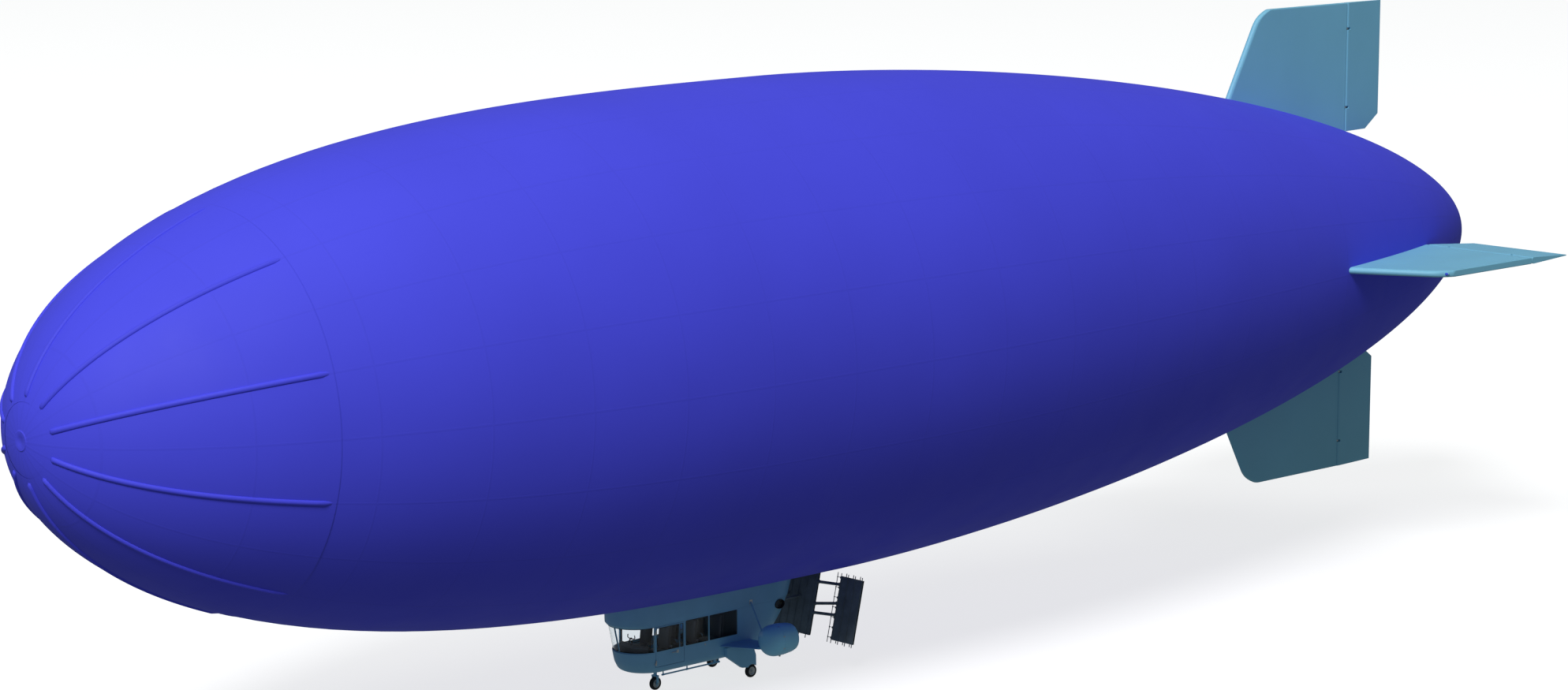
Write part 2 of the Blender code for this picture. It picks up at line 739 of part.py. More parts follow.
def pod_outline(grow=0.0):
    """Radius and height over the pod's middle, from its round nose to its open end."""
    half = POD_LONG / 2
    nose = [((POD_R + grow) * sin(a) ** 0.75, 0.06 + (half - 0.06 + grow) * cos(a) ** 0.9)
            for a in (pi / 2 * i / 5 for i in range(1, 6))]
    after = [(POD_R + grow, -0.05), (POD_R - 0.008 + grow, -0.13), (POD_TAIL_R + 0.018 + grow, -0.21),
             (POD_TAIL_R + grow, -half)]
    return nose + after


def pod_port():
    """A round-nosed shell, open behind, with a firewall across it and an exhaust under it."""
    outer = pod_outline()
    nose_tip = (0.0, POD_LONG / 2)
    inner = [(r - POD_WALL, z if z < 0.06 else 0.06 + (z - 0.06) * 0.95) for r, z in reversed(outer)]
    hub = 0.060
    split = [p for p in inner if p[1] < FIREWALL_X - 0.02]
    front = [p for p in inner if p[1] > FIREWALL_X + 0.02]
    wall_r = POD_R - POD_WALL
    firewall = [(wall_r, FIREWALL_X - 0.006), (hub, FIREWALL_X - 0.006), (hub, FIREWALL_X + 0.006),
                (wall_r, FIREWALL_X + 0.006)]
    profile = [nose_tip] + outer + split + firewall + front + [(0.0, POD_LONG / 2 - POD_WALL)]
    pod = lay_along_x(turned("pod_port", profile, POD_SIDES, "cabin_blue"))
    pod.location = (POD_X, POD_Y, POD_Z)
    bpy.context.view_layer.update()
    freeze(pod)
    down = POD_Z - POD_R
    pipe = rod("exhaust", (POD_X - 0.06, POD_Y, down - 0.030), (POD_X - 0.05, POD_Y, down + 0.006), 0.014)
    return add(pod, [pipe])


def pod_cutter():
    profile = [(0.0, POD_LONG / 2 + 2 * GAP)] + pod_outline(2 * GAP) + [(0.0, -POD_LONG / 2)]
    form = lay_along_x(turned("pod_cutter", profile, POD_SIDES))
    form.location = (POD_X, POD_Y, POD_Z)
    return form


def engine_port():
    """The engine as one block bolted to the firewall, with the shaft that turns the fan."""
    face = POD_X + FIREWALL_X + 0.006 + GAP
    long, wide, high = ENGINE_SIZE
    block = box("engine_port", (face, POD_Y - wide / 2, POD_Z - high / 2),
                (face + long, POD_Y + wide / 2, POD_Z + high / 2), "engine_grey")
    shaft = rod("shaft", (face + 0.05, POD_Y, POD_Z), (POD_X + FAN_X - 0.04, POD_Y, POD_Z), SHAFT_R)
    boss = rod("boss", (face + 0.05, POD_Y, POD_Z), (POD_X + FAN_X + HUB_HALF + GAP, POD_Y, POD_Z), 0.034)
    return add(block, [shaft, boss])


def fan_port():
    """A pushing propeller inside the pod's open end."""
    middle = POD_X + FAN_X
    ends = (middle - HUB_HALF, POD_Y, POD_Z), (middle + HUB_HALF, POD_Y, POD_Z)
    hub = rod("fan_port", *ends, HUB_R, "dark_grey", 16)
    blades = []
    for i in range(FAN_BLADES):
        rings = []
        for reach, chord, pitch in BLADE_SECTIONS:
            across = Vector((sin(radians(pitch)), cos(radians(pitch)), 0)) * chord / 2
            thick = Vector((cos(radians(pitch)), -sin(radians(pitch)), 0)) * 0.004
            rise = Vector((0, 0, reach))
            rings.append([rise - across, rise - thick, rise + across, rise + thick])
        spin = Matrix.Rotation(2 * pi * i / FAN_BLADES, 4, "X")
        place = Matrix.Translation((middle, POD_Y, POD_Z)) @ spin
        blades.append(loft(f"blade_{i}", [[place @ p for p in ring[::-1]] for ring in rings]))
    add(hub, blades)
    bore = rod("fan_bore", (middle - 0.1, POD_Y, POD_Z), (middle + 0.1, POD_Y, POD_Z), SHAFT_R + 2 * GAP)
    cut(hub, [bore])
    freeze(hub)
    return pivot(hub, (middle, POD_Y, POD_Z))


def wing_port(pod_form):
    """A short swept wing from the hull's side to the pod."""
    rings = []
    for y, front, chord in WING_SECTIONS:
        ring = []
        for i in range(WING_SIDES):
            a = 2 * pi * i / WING_SIDES
            x = front - chord * (1 - cos(a)) / 2
            thin = 1.0 if cos(a) > 0 else 1.0 + 0.55 * cos(a)
            ring.append((x, y, WING_Z + WING_THICK / 2 * sin(a) * thin))
        rings.append(ring[::-1])
    return cut(loft("wing_port", rings, "cabin_blue"), [pod_form])


def strut_port(pod_form):
    brace = rod("strut_port", *STRUT_ENDS, STRUT_R, "cabin_blue")
    side = box("strut_trim", (1.0, 0.2, -4.3), (1.6, HALF_WIDTH + GAP, -3.9))
    return cut(brace, [pod_form, side])


def leg_port():
    """A web under the wing with an arm inboard of the wheel that carries the axle."""
    top = WING_Z - WING_THICK / 2 - 0.003
    y_low, y_high = HALF_WIDTH + GAP, HALF_WIDTH + GAP + LEG_THICK
    clear = TYRE_R + WHEEL_CLEAR
    turn = [radians(degrees) for degrees in (40, 65, 90, 115, 140)]
    arc = [(MAIN_X + clear * cos(a), AXLE_Z + clear * sin(a)) for a in turn]
    front = [(1.262, top), (1.790, top), (1.770, -4.845), (1.470, -5.055)]
    rings = [[(x, y, z) for x, z in front + arc + [(1.190, -4.900)]] for y in (y_high, y_low)]
    web = loft("leg_port", rings, "cabin_blue")
    outside = MAIN_Y - TYRE_WIDE / 2 - WHEEL_CLEAR
    inside = outside - ARM_THICK
    half = 0.024
    head = HULL_LEVELS[0][0] - 0.0015
    arm = box("leg_arm", (MAIN_X - half, inside, AXLE_Z - half), (MAIN_X + half, outside, head))
    brace = box("leg_brace", (MAIN_X - half, inside, -4.990), (MAIN_X + half, y_low + 0.02, head))
    axle_end = MAIN_Y + TYRE_WIDE / 2 - 0.004
    axle = rod("leg_axle", (MAIN_X, inside + 0.004, AXLE_Z), (MAIN_X, axle_end, AXLE_Z), AXLE_R)
    hull_form = box("leg_trim", (0.5, -0.5, HULL_LEVELS[0][0] - GAP), (3.0, HALF_WIDTH + GAP, -4.0))
    add(web, [arm, brace, axle])
    return cut(web, [hull_form])


def wheel(names, x, y):
    """A tyre on a rim, both turning on one axle."""
    rim_name, tyre_name = names
    half = TYRE_WIDE / 2
    bore = AXLE_R + 2 * GAP
    seat_half = half * 0.72
    dish = seat_half - 0.012
    rim = turned(rim_name, [(RIM_R - 0.014, dish), (RIM_R - 0.012, seat_half), (RIM_R, seat_half),
                            (RIM_R, -seat_half), (RIM_R - 0.012, -seat_half), (RIM_R - 0.014, -dish),
                            (0.026, -dish), (0.026, -seat_half), (bore, -seat_half),
                            (bore, seat_half), (0.026, seat_half), (0.026, dish)],
                     RIM_SIDES, "bare_metal", closed=True)
    inner = RIM_R + 2 * GAP
    bulge = [(TYRE_R - (TYRE_R - inner) * (1 - cos(a)) * 0.55, half * sin(a))
             for a in (radians(d) for d in (90, 55, 25, 0, -25, -55, -90))]
    outline = [(inner, seat_half)] + bulge + [(inner, -seat_half)]
    tyre = turned(tyre_name, outline, TYRE_SIDES, "rubber", closed=True)
    for thing in (rim, tyre):
        thing.rotation_euler = (pi / 2, 0, 0)
        thing.location = (x, y, AXLE_Z)
    bpy.context.view_layer.update()


def nose_gear():
    """A post under the bow, and a fork that steers on it."""
    belly = HULL_LEVELS[0][0]
    crown = AXLE_Z + TYRE_R + WHEEL_CLEAR

    def upright_rod(name, low, high, radius, finish=None, sides=16):
        return rod(name, (NOSE_WHEEL_X, 0, low), (NOSE_WHEEL_X, 0, high), radius, finish, sides)

    post = upright_rod("nose_post", belly - GAP, belly - POST_LONG, 0.030, "cabin_blue")
    plate = upright_rod("nose_post_plate", belly - GAP, belly - 0.012, 0.055)
    bore = upright_rod("nose_post_bore", belly - 0.020, belly - 0.080, STEM_R + 2 * GAP, sides=12)
    cut(add(post, [plate]), [bore])
    inside = TYRE_WIDE / 2 + WHEEL_CLEAR
    outside = inside + ARM_THICK
    fork = box("nose_fork", (NOSE_WHEEL_X - 0.026, -outside, crown),
               (NOSE_WHEEL_X + 0.026, outside, crown + ARM_THICK), "cabin_blue")
    legs = [box("fork_leg", (NOSE_WHEEL_X - 0.018, low, AXLE_Z - 0.022),
                (NOSE_WHEEL_X + 0.018, low + ARM_THICK, crown + 0.008)) for low in (inside, -outside)]
    collar = upright_rod("fork_collar", crown + 0.008, belly - POST_LONG - GAP, 0.026)
    stem = upright_rod("fork_stem", crown + 0.008, belly - 0.024, STEM_R, sides=12)
    reach = inside + 0.008
    axle = rod("fork_axle", (NOSE_WHEEL_X, -reach, AXLE_Z), (NOSE_WHEEL_X, reach, AXLE_Z), AXLE_R)
    add(fork, legs + [collar, stem, axle])
    freeze(fork)
    pivot(fork, (NOSE_WHEEL_X, 0, AXLE_Z))


def belly_rail():
    """A tube on three posts under the keel, just behind the nose wheel."""
    foot = HULL_LEVELS[0][0] - GAP
    back, front = BELLY_RAIL_X
    height = BELLY_RAIL_Z
    rail = rod("belly_rail", (front, 0, height), (back, 0, height), 0.012, "cabin_blue")
    posts = [rod("rail_post", (x, 0, foot), (x, 0, height), 0.010) for x in BELLY_RAIL_POSTS]
    return add(rail, posts)


def panel_x(height):
    """x of the panels' plane at a height."""
    return PANEL_FOOT[0] - (height - PANEL_FOOT[1]) * PANEL_LEAN


def panel(name, y_low, y_high, low, high, finish=None):
    """A flat board in the leaning plane."""
    half = PANEL_THICK / 2
    rings = []
    for height in (low, high):
        x = panel_x(height)
        rings.append([(x - half, y_low, height), (x + half, y_low, height),
                      (x + half, y_high, height), (x - half, y_high, height)])
    return loft(name, rings, finish)


def upright(name, y, face, low, high):
    """A rod half sunk in the front or back face of the boards' plane."""
    shift = face * PANEL_THICK / 2
    ends = [(panel_x(z) + shift, y, z) for z in (low, high)]
    return rod(name, ends[0], ends[1], ROD_R, sides=6)


def side_board_rods(low, high):
    """Rods on both faces, and a thin upright on rungs beside the board's inner edge."""
    inner, outer = SIDE_PANEL_Y
    reach = ROD_REACH
    rods = []
    for face, first, count in ((1, 0.018, 4), (-1, 0.090, 3)):
        for i in range(count):
            y = outer - first - i * (ROD_SPACING - 0.004)
            rods.append(upright(f"rod_{face}_{i}", y, face, low - reach, high + reach))
    edge_y = inner - EDGE_ROD_IN
    rods.append(upright("edge_rod", edge_y, 0, low - reach, high + reach))
    for i in range(RUNGS):
        z = low + 0.030 + i * (high - low - 0.050) / (RUNGS - 1)
        x = panel_x(z)
        rods.append(rod(f"rung_{i}", (x, edge_y, z), (x, inner + 0.02, z), RUNG_R, sides=6))
        foot = (x - 0.011, inner - 0.016, z - 0.018)
        rods.append(box(f"clamp_{i}", foot, (x + 0.011, inner + 0.010, z + 0.018)))
    return rods


def array_panels(cutter):
    """The wide centre panel on two brackets from the cabin's tail, and a side panel on three tubes."""
    centre = panel("array_centre", -CENTRE_PANEL_HALF, CENTRE_PANEL_HALF, PANEL_FOOT[1], -3.70, "dark_grey")
    height = -4.240
    brackets = [rod(f"array_bracket_{i}", (panel_x(height), y, height), (0.50, y, height), 0.020)
                for i, y in enumerate((0.12, -0.12))]
    tail_form = loft("tail_form", [
        cabin_ring((z, bow, end - GAP * 2, half + GAP)) for z, bow, end, half in
        (FRAME_LEVELS[1], FRAME_LEVELS[2])])
    for bracket in brackets:
        freeze(cut(bracket, [tail_form]))
    cut(centre, [cutter])
    low = PANEL_FOOT[1] - ROD_REACH
    rods = [upright(f"centre_rod_{i}", (i - 2.5) * ROD_SPACING, 1, low, -3.850) for i in range(6)]
    add(centre, brackets + rods)
    side_low = PANEL_FOOT[1] + 0.015
    side = panel("array_port", *SIDE_PANEL_Y, side_low, SIDE_PANEL_TOP, "dark_grey")
    tubes = [rod(f"cross_tube_{i}", (panel_x(near), CENTRE_PANEL_HALF + GAP, near),
                 (panel_x(far), SIDE_PANEL_Y[0] + 0.02, far), CROSS_TUBE_R)
             for i, (near, far) in enumerate(CROSS_TUBES)]
    trim = box("tube_trim", (-1, 0.2, -5), (1, CENTRE_PANEL_HALF + GAP, -3))
    rods = side_board_rods(side_low, SIDE_PANEL_TOP)
    return add(side, [freeze(cut(tube_piece, [trim])) for tube_piece in tubes] + rods)


def hide_leftovers():
    """Tools made while the pieces were joined stay out of the part."""
    for thing in CUTTERS.objects:
        thing.hide_render = True
        thing.display_type = "WIRE"


def build():
    envelope()
    cutter = envelope_cutter()
    nose_cap()
    ring, stations = nose_battens()
    freeze(ring)
    add(ring, [batten(f"batten_{i}", stations, 2 * pi * i / BATTENS) for i in range(BATTENS)])
    tail(cutter)
    lower_hull()
    cabin_frame()
    roof(cutter)
    mirrored(door_port(), "door_starboard")
    cabin_inside()
    pod_form = pod_cutter()
    for maker in (pod_port, engine_port, fan_port):
        piece = maker()
        mirrored(piece, piece.name.replace("port", "starboard"))
    for maker in (wing_port, strut_port):
        piece = maker(pod_form)
        mirrored(piece, piece.name.replace("port", "starboard"))
    mirrored(leg_port(), "leg_starboard")
    wheel(("main_rim_port", "main_tyre_port"), MAIN_X, MAIN_Y)
    wheel(("main_rim_starboard", "main_tyre_starboard"), MAIN_X, -MAIN_Y)
    nose_gear()
    wheel(("nose_rim", "nose_tyre"), NOSE_WHEEL_X, 0.0)
    belly_rail()
    mirrored(array_panels(cutter), "array_starboard")
    hide_leftovers()


build()
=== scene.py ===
"""Looks of the half-size airship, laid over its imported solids.

+X is forward, +Y port and +Z up, in metres.
"""
import json
from math import cos, pi, radians, sin, sqrt

import bmesh
import bpy
from mathutils import Matrix, Vector
from mathutils.bvhtree import BVHTree


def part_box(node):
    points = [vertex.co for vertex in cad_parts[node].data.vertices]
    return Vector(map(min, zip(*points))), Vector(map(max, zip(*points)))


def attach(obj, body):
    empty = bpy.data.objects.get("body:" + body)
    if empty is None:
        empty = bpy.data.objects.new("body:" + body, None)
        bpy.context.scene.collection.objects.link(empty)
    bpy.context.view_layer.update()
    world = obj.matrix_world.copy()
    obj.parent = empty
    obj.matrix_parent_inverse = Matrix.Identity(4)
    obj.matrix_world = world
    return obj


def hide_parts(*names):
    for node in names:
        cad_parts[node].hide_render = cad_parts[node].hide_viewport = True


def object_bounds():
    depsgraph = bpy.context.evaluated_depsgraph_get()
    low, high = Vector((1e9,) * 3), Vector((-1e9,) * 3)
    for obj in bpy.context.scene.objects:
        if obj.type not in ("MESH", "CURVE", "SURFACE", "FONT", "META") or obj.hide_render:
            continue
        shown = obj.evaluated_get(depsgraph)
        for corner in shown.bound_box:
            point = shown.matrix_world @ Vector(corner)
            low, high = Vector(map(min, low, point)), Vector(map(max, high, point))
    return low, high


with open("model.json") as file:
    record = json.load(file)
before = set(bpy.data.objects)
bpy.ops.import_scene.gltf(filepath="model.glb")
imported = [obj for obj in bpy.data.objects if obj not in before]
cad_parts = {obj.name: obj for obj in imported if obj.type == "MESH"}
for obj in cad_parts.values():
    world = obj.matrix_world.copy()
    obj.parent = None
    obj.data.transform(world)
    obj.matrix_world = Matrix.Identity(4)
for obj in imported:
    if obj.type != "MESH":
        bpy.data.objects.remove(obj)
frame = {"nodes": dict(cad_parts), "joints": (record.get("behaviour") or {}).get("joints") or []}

CAD_BOUNDS = [list(corner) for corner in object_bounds()]
HINGE_X = next(joint["pos_m"][0] for joint in frame["joints"] if joint["name"] == "rudder_top_hinge")
SIDES = (("port", 1), ("starboard", -1))
GAP = 0.0003

# Envelope, as in the part's source; WIDEST to PATCH_END are shares of its length, from the nose
NOSE_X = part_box("nose_cap")[1].x
TAIL_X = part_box("envelope")[0].x
LENGTH = NOSE_X - TAIL_X
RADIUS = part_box("envelope")[1].y
WIDEST = 0.45
NOSE_RING = 0.0029
NOSE_FACE_END = 0.00024
BATTEN_END = 0.100
PATCH_END = 0.1015              # edge of the doubled cloth under the battens
PATCH_THICK = 0.006
FORE_POWERS = (3.12, 1.92)
AFT_POWERS = (1.70, 1.74)
NOSE_FACE = 0.130
NOSE_DISH = 0.004
BATTENS = 10
BATTEN_WIDTH = 0.080
BATTEN_HEIGHT = 0.032
GORES = 20
GIRTH_SPACING = 1.55

# Cabin: levels from the belly up, as (height, bow x, tail x, half width)
HALF_WIDTH = 0.400
WALL = 0.012
INSIDE = HALF_WIDTH - WALL
BOW_ROUND = 0.40
TAIL_ROUND = 0.60
BOW_STEPS, TAIL_STEPS = 26, 16
SILL_Z = -4.530
HEAD_Z = -4.155
RAIL = 0.018
HULL_TOP = SILL_Z - RAIL
ROOF_FOOT = HEAD_Z + RAIL
BELLY = -4.881
HULL_LEVELS = (
    (BELLY, 3.30, 1.26, 0.285),
    (-4.867, 3.37, 1.12, 0.345),
    (-4.835, 3.43, 1.00, 0.384),
    (-4.780, 3.465, 0.87, HALF_WIDTH),
    (-4.710, 3.50, 0.76, HALF_WIDTH),
    (HULL_TOP, 3.539, 0.621, HALF_WIDTH),
)
FRAME_LEVELS = (
    (HULL_TOP + GAP, 3.524, 0.546, HALF_WIDTH),
    (-4.368, 3.567, 0.395, HALF_WIDTH),
    (ROOF_FOOT - GAP, 3.621, 0.267, HALF_WIDTH),
)
DECK_Z = -3.835
ROOF_LEVELS = (                 # from the foot up to the crown, which only gives the top's outline
    (ROOF_FOOT, 3.640, 0.265, HALF_WIDTH),
    (ROOF_FOOT + 0.012, 3.655, 0.252, HALF_WIDTH),
    (-4.095, 3.680, 0.240, HALF_WIDTH),
    ((-4.095 + DECK_Z) / 2, 3.684, 0.198, HALF_WIDTH),
    (-3.700, 3.690, 0.130, HALF_WIDTH),
)
ROOF_WALL = 0.03
CENTRE_POST = 0.026
WINDSCREEN_END_X = 3.182
PANE = 0.004
RUBBER_R = 0.0035
DOOR_HOLE_X = (2.585, 3.156)
DOOR_HOLE_Z = (-4.770, -4.155)
DOOR_GAP = 0.005
DOOR_HINGE = Vector((3.1535, 0.411, 0.0))
DOOR_HINGE_HEIGHTS = (-4.700, -4.235)
DOOR_KNUCKLE = 0.036
SIDE_WINDOWS = ((1.520, 2.075), (2.105, 2.555))    # x of each pane's ends, aft of the door
DOOR_PANES = ((2.608, 2.669), (2.687, 3.133))
DOOR_GLASS_TOP = -4.1785
LEVER_Z = -4.589
DUCT_MIDDLE = (0.630, -4.212)   # x and z
DUCT_HALF = (0.088, 0.066)
DUCT_DEPTH = 0.090
DUCT_BARS = 0.0165
FILLER_AT = (2.170, HALF_WIDTH - 0.001, -4.580)

# Inside the cabin
FLOOR_TOP = -4.763
FLOOR_RIBS = (1.60, 0.09, 18)   # first x, spacing and number
DASH_X = 3.22
DASH_TOP = -4.478
OUTER_DIALS = (-0.27, -0.205, -0.14, 0.14, 0.205, 0.27)
INNER_DIALS = (-0.05, 0.0, 0.05)
DIAL_ROWS = ((-4.535, OUTER_DIALS, 0.026), (-4.605, OUTER_DIALS, 0.026),
             (-4.530, INNER_DIALS, 0.019), (-4.580, INNER_DIALS, 0.019))
GRIP_TOP = FLOOR_TOP + 0.33
SEAT_ROWS = (("pilot", 2.80), ("middle", 2.27), ("rear", 1.74))
SEAT_Y = 0.205
BASE_SIZE = (0.270, 0.222, 0.072)
BACK_SIZE = (0.060, 0.222, 0.365)
BASE_TILT = radians(-2.5)
BACK_LEAN = radians(-6.2)
CUSHION_GIVE = 0.008            # how far the cloth may swell
CLOTH_PRESSURE = 4.0
CLOTH_FRAMES = 20
CLOTH_VOXEL = 0.006
PIPING_LIFT = 0.72              # share of a cushion's half thickness
SEAT_LEG_Y = 0.085
SEAT_LEG_X = (0.11, 0.23)

# Engine pods, stub wings and fans
POD_AT = Vector((1.277, 1.020, -4.548))
POD_HALF = 0.270
POD_NOSE = 0.06                 # where the round nose ends, from the pod's middle
POD_NOSE_STEPS = 24
POD_R = 0.240
POD_TAIL_R = 0.205
POD_WALL = 0.012
POD_SEAM_X = 0.055
POD_SEAM_DEPTH = 0.0025
POD_LEVELS = ((POD_NOSE, POD_R), (-0.05, POD_R), (-0.13, POD_R - 0.008), (-0.21, POD_TAIL_R + 0.018),
              (-POD_HALF + 0.004, POD_TAIL_R + 0.002))
FIREWALL_X = 0.010
FAN_X = -0.150
FAN_BLADES = 6
# a blade's sections, as (reach, chord, pitch in degrees)
BLADE_SECTIONS = ((0.036, 0.046, 57), (0.060, 0.056, 50), (0.090, 0.064, 42), (0.130, 0.061, 34),
                  (0.165, 0.055, 28), (0.184, 0.044, 25), (0.190, 0.024, 24))
WING_Z = -4.665
WING_THICK = 0.056
WING_SECTIONS = ((0.3975, 1.882, 0.662), (0.66, 1.720, 0.550), (0.900, 1.572, 0.448))  # y, front x, chord
STRUT_ENDS = (Vector((1.235, 0.396, -4.080)), Vector((1.432, 0.893, -4.484)))

# Wheels and the rail under the belly
TYRE_R = 0.102
TYRE_HALF = 0.036
TYRE_GROOVES = (-0.016, 0.0, 0.016)
RIM_R = 0.060
RIM_SEAT = TYRE_HALF * 0.72
RIM_HOLES_R = 0.0378
RIM_BOLTS_R = 0.0186
NOSE_FORK_HALF = 0.060
MAIN_X, MAIN_Y, NOSE_WHEEL_X = 1.271, 0.432, 2.819
AXLE_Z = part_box("nose_tyre")[0].z + TYRE_R
WHEEL_AT = {
    "main_wheel_port": (MAIN_X, MAIN_Y, AXLE_Z),
    "main_wheel_starboard": (MAIN_X, -MAIN_Y, AXLE_Z),
    "nose_wheel": (NOSE_WHEEL_X, 0.0, AXLE_Z),
}
BRAKE_LINE = ((1.300, 0.385, -5.10), (1.305, 0.380, -5.00), (1.300, 0.384, -4.93), (1.290, 0.384, -4.886))
RAIL_X = (1.511, 2.690)
RAIL_Z = -5.034
RAIL_POSTS = (2.660, 2.180, 1.540)
RAIL_TOP = -4.8812
BELLY_LAMPS = ((2.6705, 0.006, -4.940), (2.6705, 0.006, -4.985))

# Boards behind the cabin, in a plane that leans aft at the top
BOARD_FOOT = (0.062, -4.785)
BOARD_LEAN = 0.228 / 0.985
BOARD_HALF = 0.015
BOARD_EDGE = 0.016
CENTRE_BOARD_HALF = 0.465
CENTRE_BOARD_TOP = -3.735
CENTRE_RODS, CENTRE_ROD_TOP = 6, -3.850
BRACKET_Y, BRACKET_Z = 0.12, -4.240
BRACKET_END_X = 0.345
SIDE_BOARD_Y = (0.933, 1.413)
SIDE_BOARD_Z = (-4.770, -3.815)
CROSS_TUBES = ((-3.972, -3.939), (-4.302, -4.221), (-4.440, -4.400))
CROSS_TUBE_R = 0.0235
ROD_R = 0.0065
ROD_REACH = 0.045
ROD_SPACING = 0.154
SIDE_RODS = ((1, 0.018, 4), (-1, 0.090, 3))      # face, how far inside the edge, number
EDGE_ROD_Y = SIDE_BOARD_Y[0] - 0.082
RUNGS = 7

# Fins, as (name, turn about +X, tip, rise), and their leading edge as (share of the length, span)
FIN_HALF = 0.055
FIN_BACK = HINGE_X + FIN_HALF + 0.006
FIN_EDGE = 0.014
FIN_CORNER = 0.30
FIN_SWEEP = 0.21
FIN_FRONT = ((0.7916, 2.715), (0.8150, 3.970))
TIP_LAMP_SPAN = 4.045
FIN_FOOT, FIN_ROOT, FIN_LUG = 2.70, 2.85, 2.345
FINS = (("top", 0.0, 4.166, 0.0), ("bottom", pi, 4.034, 0.0), ("port", -pi / 2, 4.10, 0.066),
        ("starboard", pi / 2, 4.10, 0.066))

# Light, as (towards the lamp, distance, size, share of full white on a face square to it)
LAMPS = {
    "key": ((0.630, 0.350, 0.690), 300.0, 110.0, 0.80),
    "top": ((0.0, 0.0, 1.0), 300.0, 200.0, 0.17),
}
AMBIENT = (0.160, 0.180, 0.182)
SURROUND = (0.93, 0.93, 0.94)   # what shows above the floor's far edge
FLOOR_WHITE = 0.45              # albedo of the floor, and what it glows
FLOOR_GLOW = 0.74
FLOOR_HALF = 900.0

# Camera, as fitted to the photograph
CAMERA_AT = (39.768, 42.071, 9.371)
CAMERA_AZIMUTH = radians(46.6365)
CAMERA_DOWN = radians(10.1362)
CAMERA_ROLL = radians(-0.071)
LENS = 88.34
SHIFT = (-0.00386, 0.02674)


class Nodes:
    """Short calls for a node tree."""

    def __init__(self, tree):
        self.tree = tree

    def add(self, kind, inputs=None, **settings):
        node = self.tree.nodes.new(kind)
        for key, value in settings.items():
            setattr(node, key, value)
        for key, value in (inputs or {}).items():
            if isinstance(value, bpy.types.NodeSocket):
                self.tree.links.new(value, node.inputs[key])
            else:
                node.inputs[key].default_value = value
        return node

    def math(self, operation, *values):
        return self.add("ShaderNodeMath", dict(enumerate(values)), operation=operation).outputs[0]

    def place(self):
        return self.add("ShaderNodeTexCoord").outputs["Object"]

    def axes(self):
        return self.add("ShaderNodeSeparateXYZ", {"Vector": self.place()}).outputs

    def noise(self, scale, detail=3.0):
        inputs = {"Vector": self.place(), "Scale": scale, "Detail": detail}
        return self.add("ShaderNodeTexNoise", inputs).outputs["Fac"]

    def wave(self, scale, direction, distortion=0.0):
        inputs = {"Vector": self.place(), "Scale": scale, "Distortion": distortion}
        return self.add("ShaderNodeTexWave", inputs, bands_direction=direction).outputs["Fac"]

    def spread(self, value, low, high, to_low=0.0, to_high=1.0):
        inputs = {"Value": value, "From Min": low, "From Max": high, "To Min": to_low, "To Max": to_high}
        return self.add("ShaderNodeMapRange", inputs).outputs["Result"]

    def off_line(self, value, spacing, shift):
        """How far a value is from the nearest of even lines, as a share of their spacing."""
        turn = self.math("FRACT", self.math("DIVIDE", self.math("ADD", value, shift), spacing))
        return self.math("ABSOLUTE", self.math("SUBTRACT", turn, 0.5))

    def feed(self, socket, value):
        self.tree.links.new(value, self.tree.nodes["Principled BSDF"].inputs[socket])

    def tint(self, colour, value, amount):
        """Feeds a colour that runs a little darker and lighter with a value from 0 to 1."""
        dark = (*(c * (1 - amount) for c in colour), 1.0)
        light = (*(min(c * (1 + amount), 1.0) for c in colour), 1.0)
        mix = self.add("ShaderNodeMix", {0: value, 6: dark, 7: light}, data_type="RGBA")
        self.feed("Base Color", mix.outputs[2])

    def bump(self, *layers):
        """Lays height maps on each other, each as (height, strength, distance)."""
        normal = None
        for height, strength, distance in layers:
            inputs = {"Height": height, "Strength": strength, "Distance": distance}
            if normal:
                inputs["Normal"] = normal
            normal = self.add("ShaderNodeBump", inputs).outputs["Normal"]
        self.feed("Normal", normal)


def paint(name, colour, roughness, patches=None, **sockets):
    """A material; patches are (scale, amount) of its colour and may go on with a range of roughness."""
    material = bpy.data.materials.new(name)
    material.use_nodes = True
    nodes = Nodes(material.node_tree)
    for key, value in dict(sockets, base_color=(*colour, 1.0), roughness=roughness).items():
        socket = key.replace("_", " ").title().replace("Ior", "IOR")
        nodes.tree.nodes["Principled BSDF"].inputs[socket].default_value = value
    if patches:
        scale, amount, *rough = patches
        nodes.tint(colour, nodes.spread(nodes.noise(scale, 4.0), 0.3, 0.7), amount)
        if rough:
            nodes.feed("Roughness", nodes.spread(nodes.noise(scale * 3.1), 0.3, 0.7, *rough))
    return material, nodes


def grained(name, colour, roughness, patches, *grain, **sockets):
    """A material with layers of fine grain, each as (scale, detail, strength, distance)."""
    material, nodes = paint(name, colour, roughness, patches, **sockets)
    nodes.bump(*((nodes.noise(scale, detail), *depth) for scale, detail, *depth in grain))
    return material


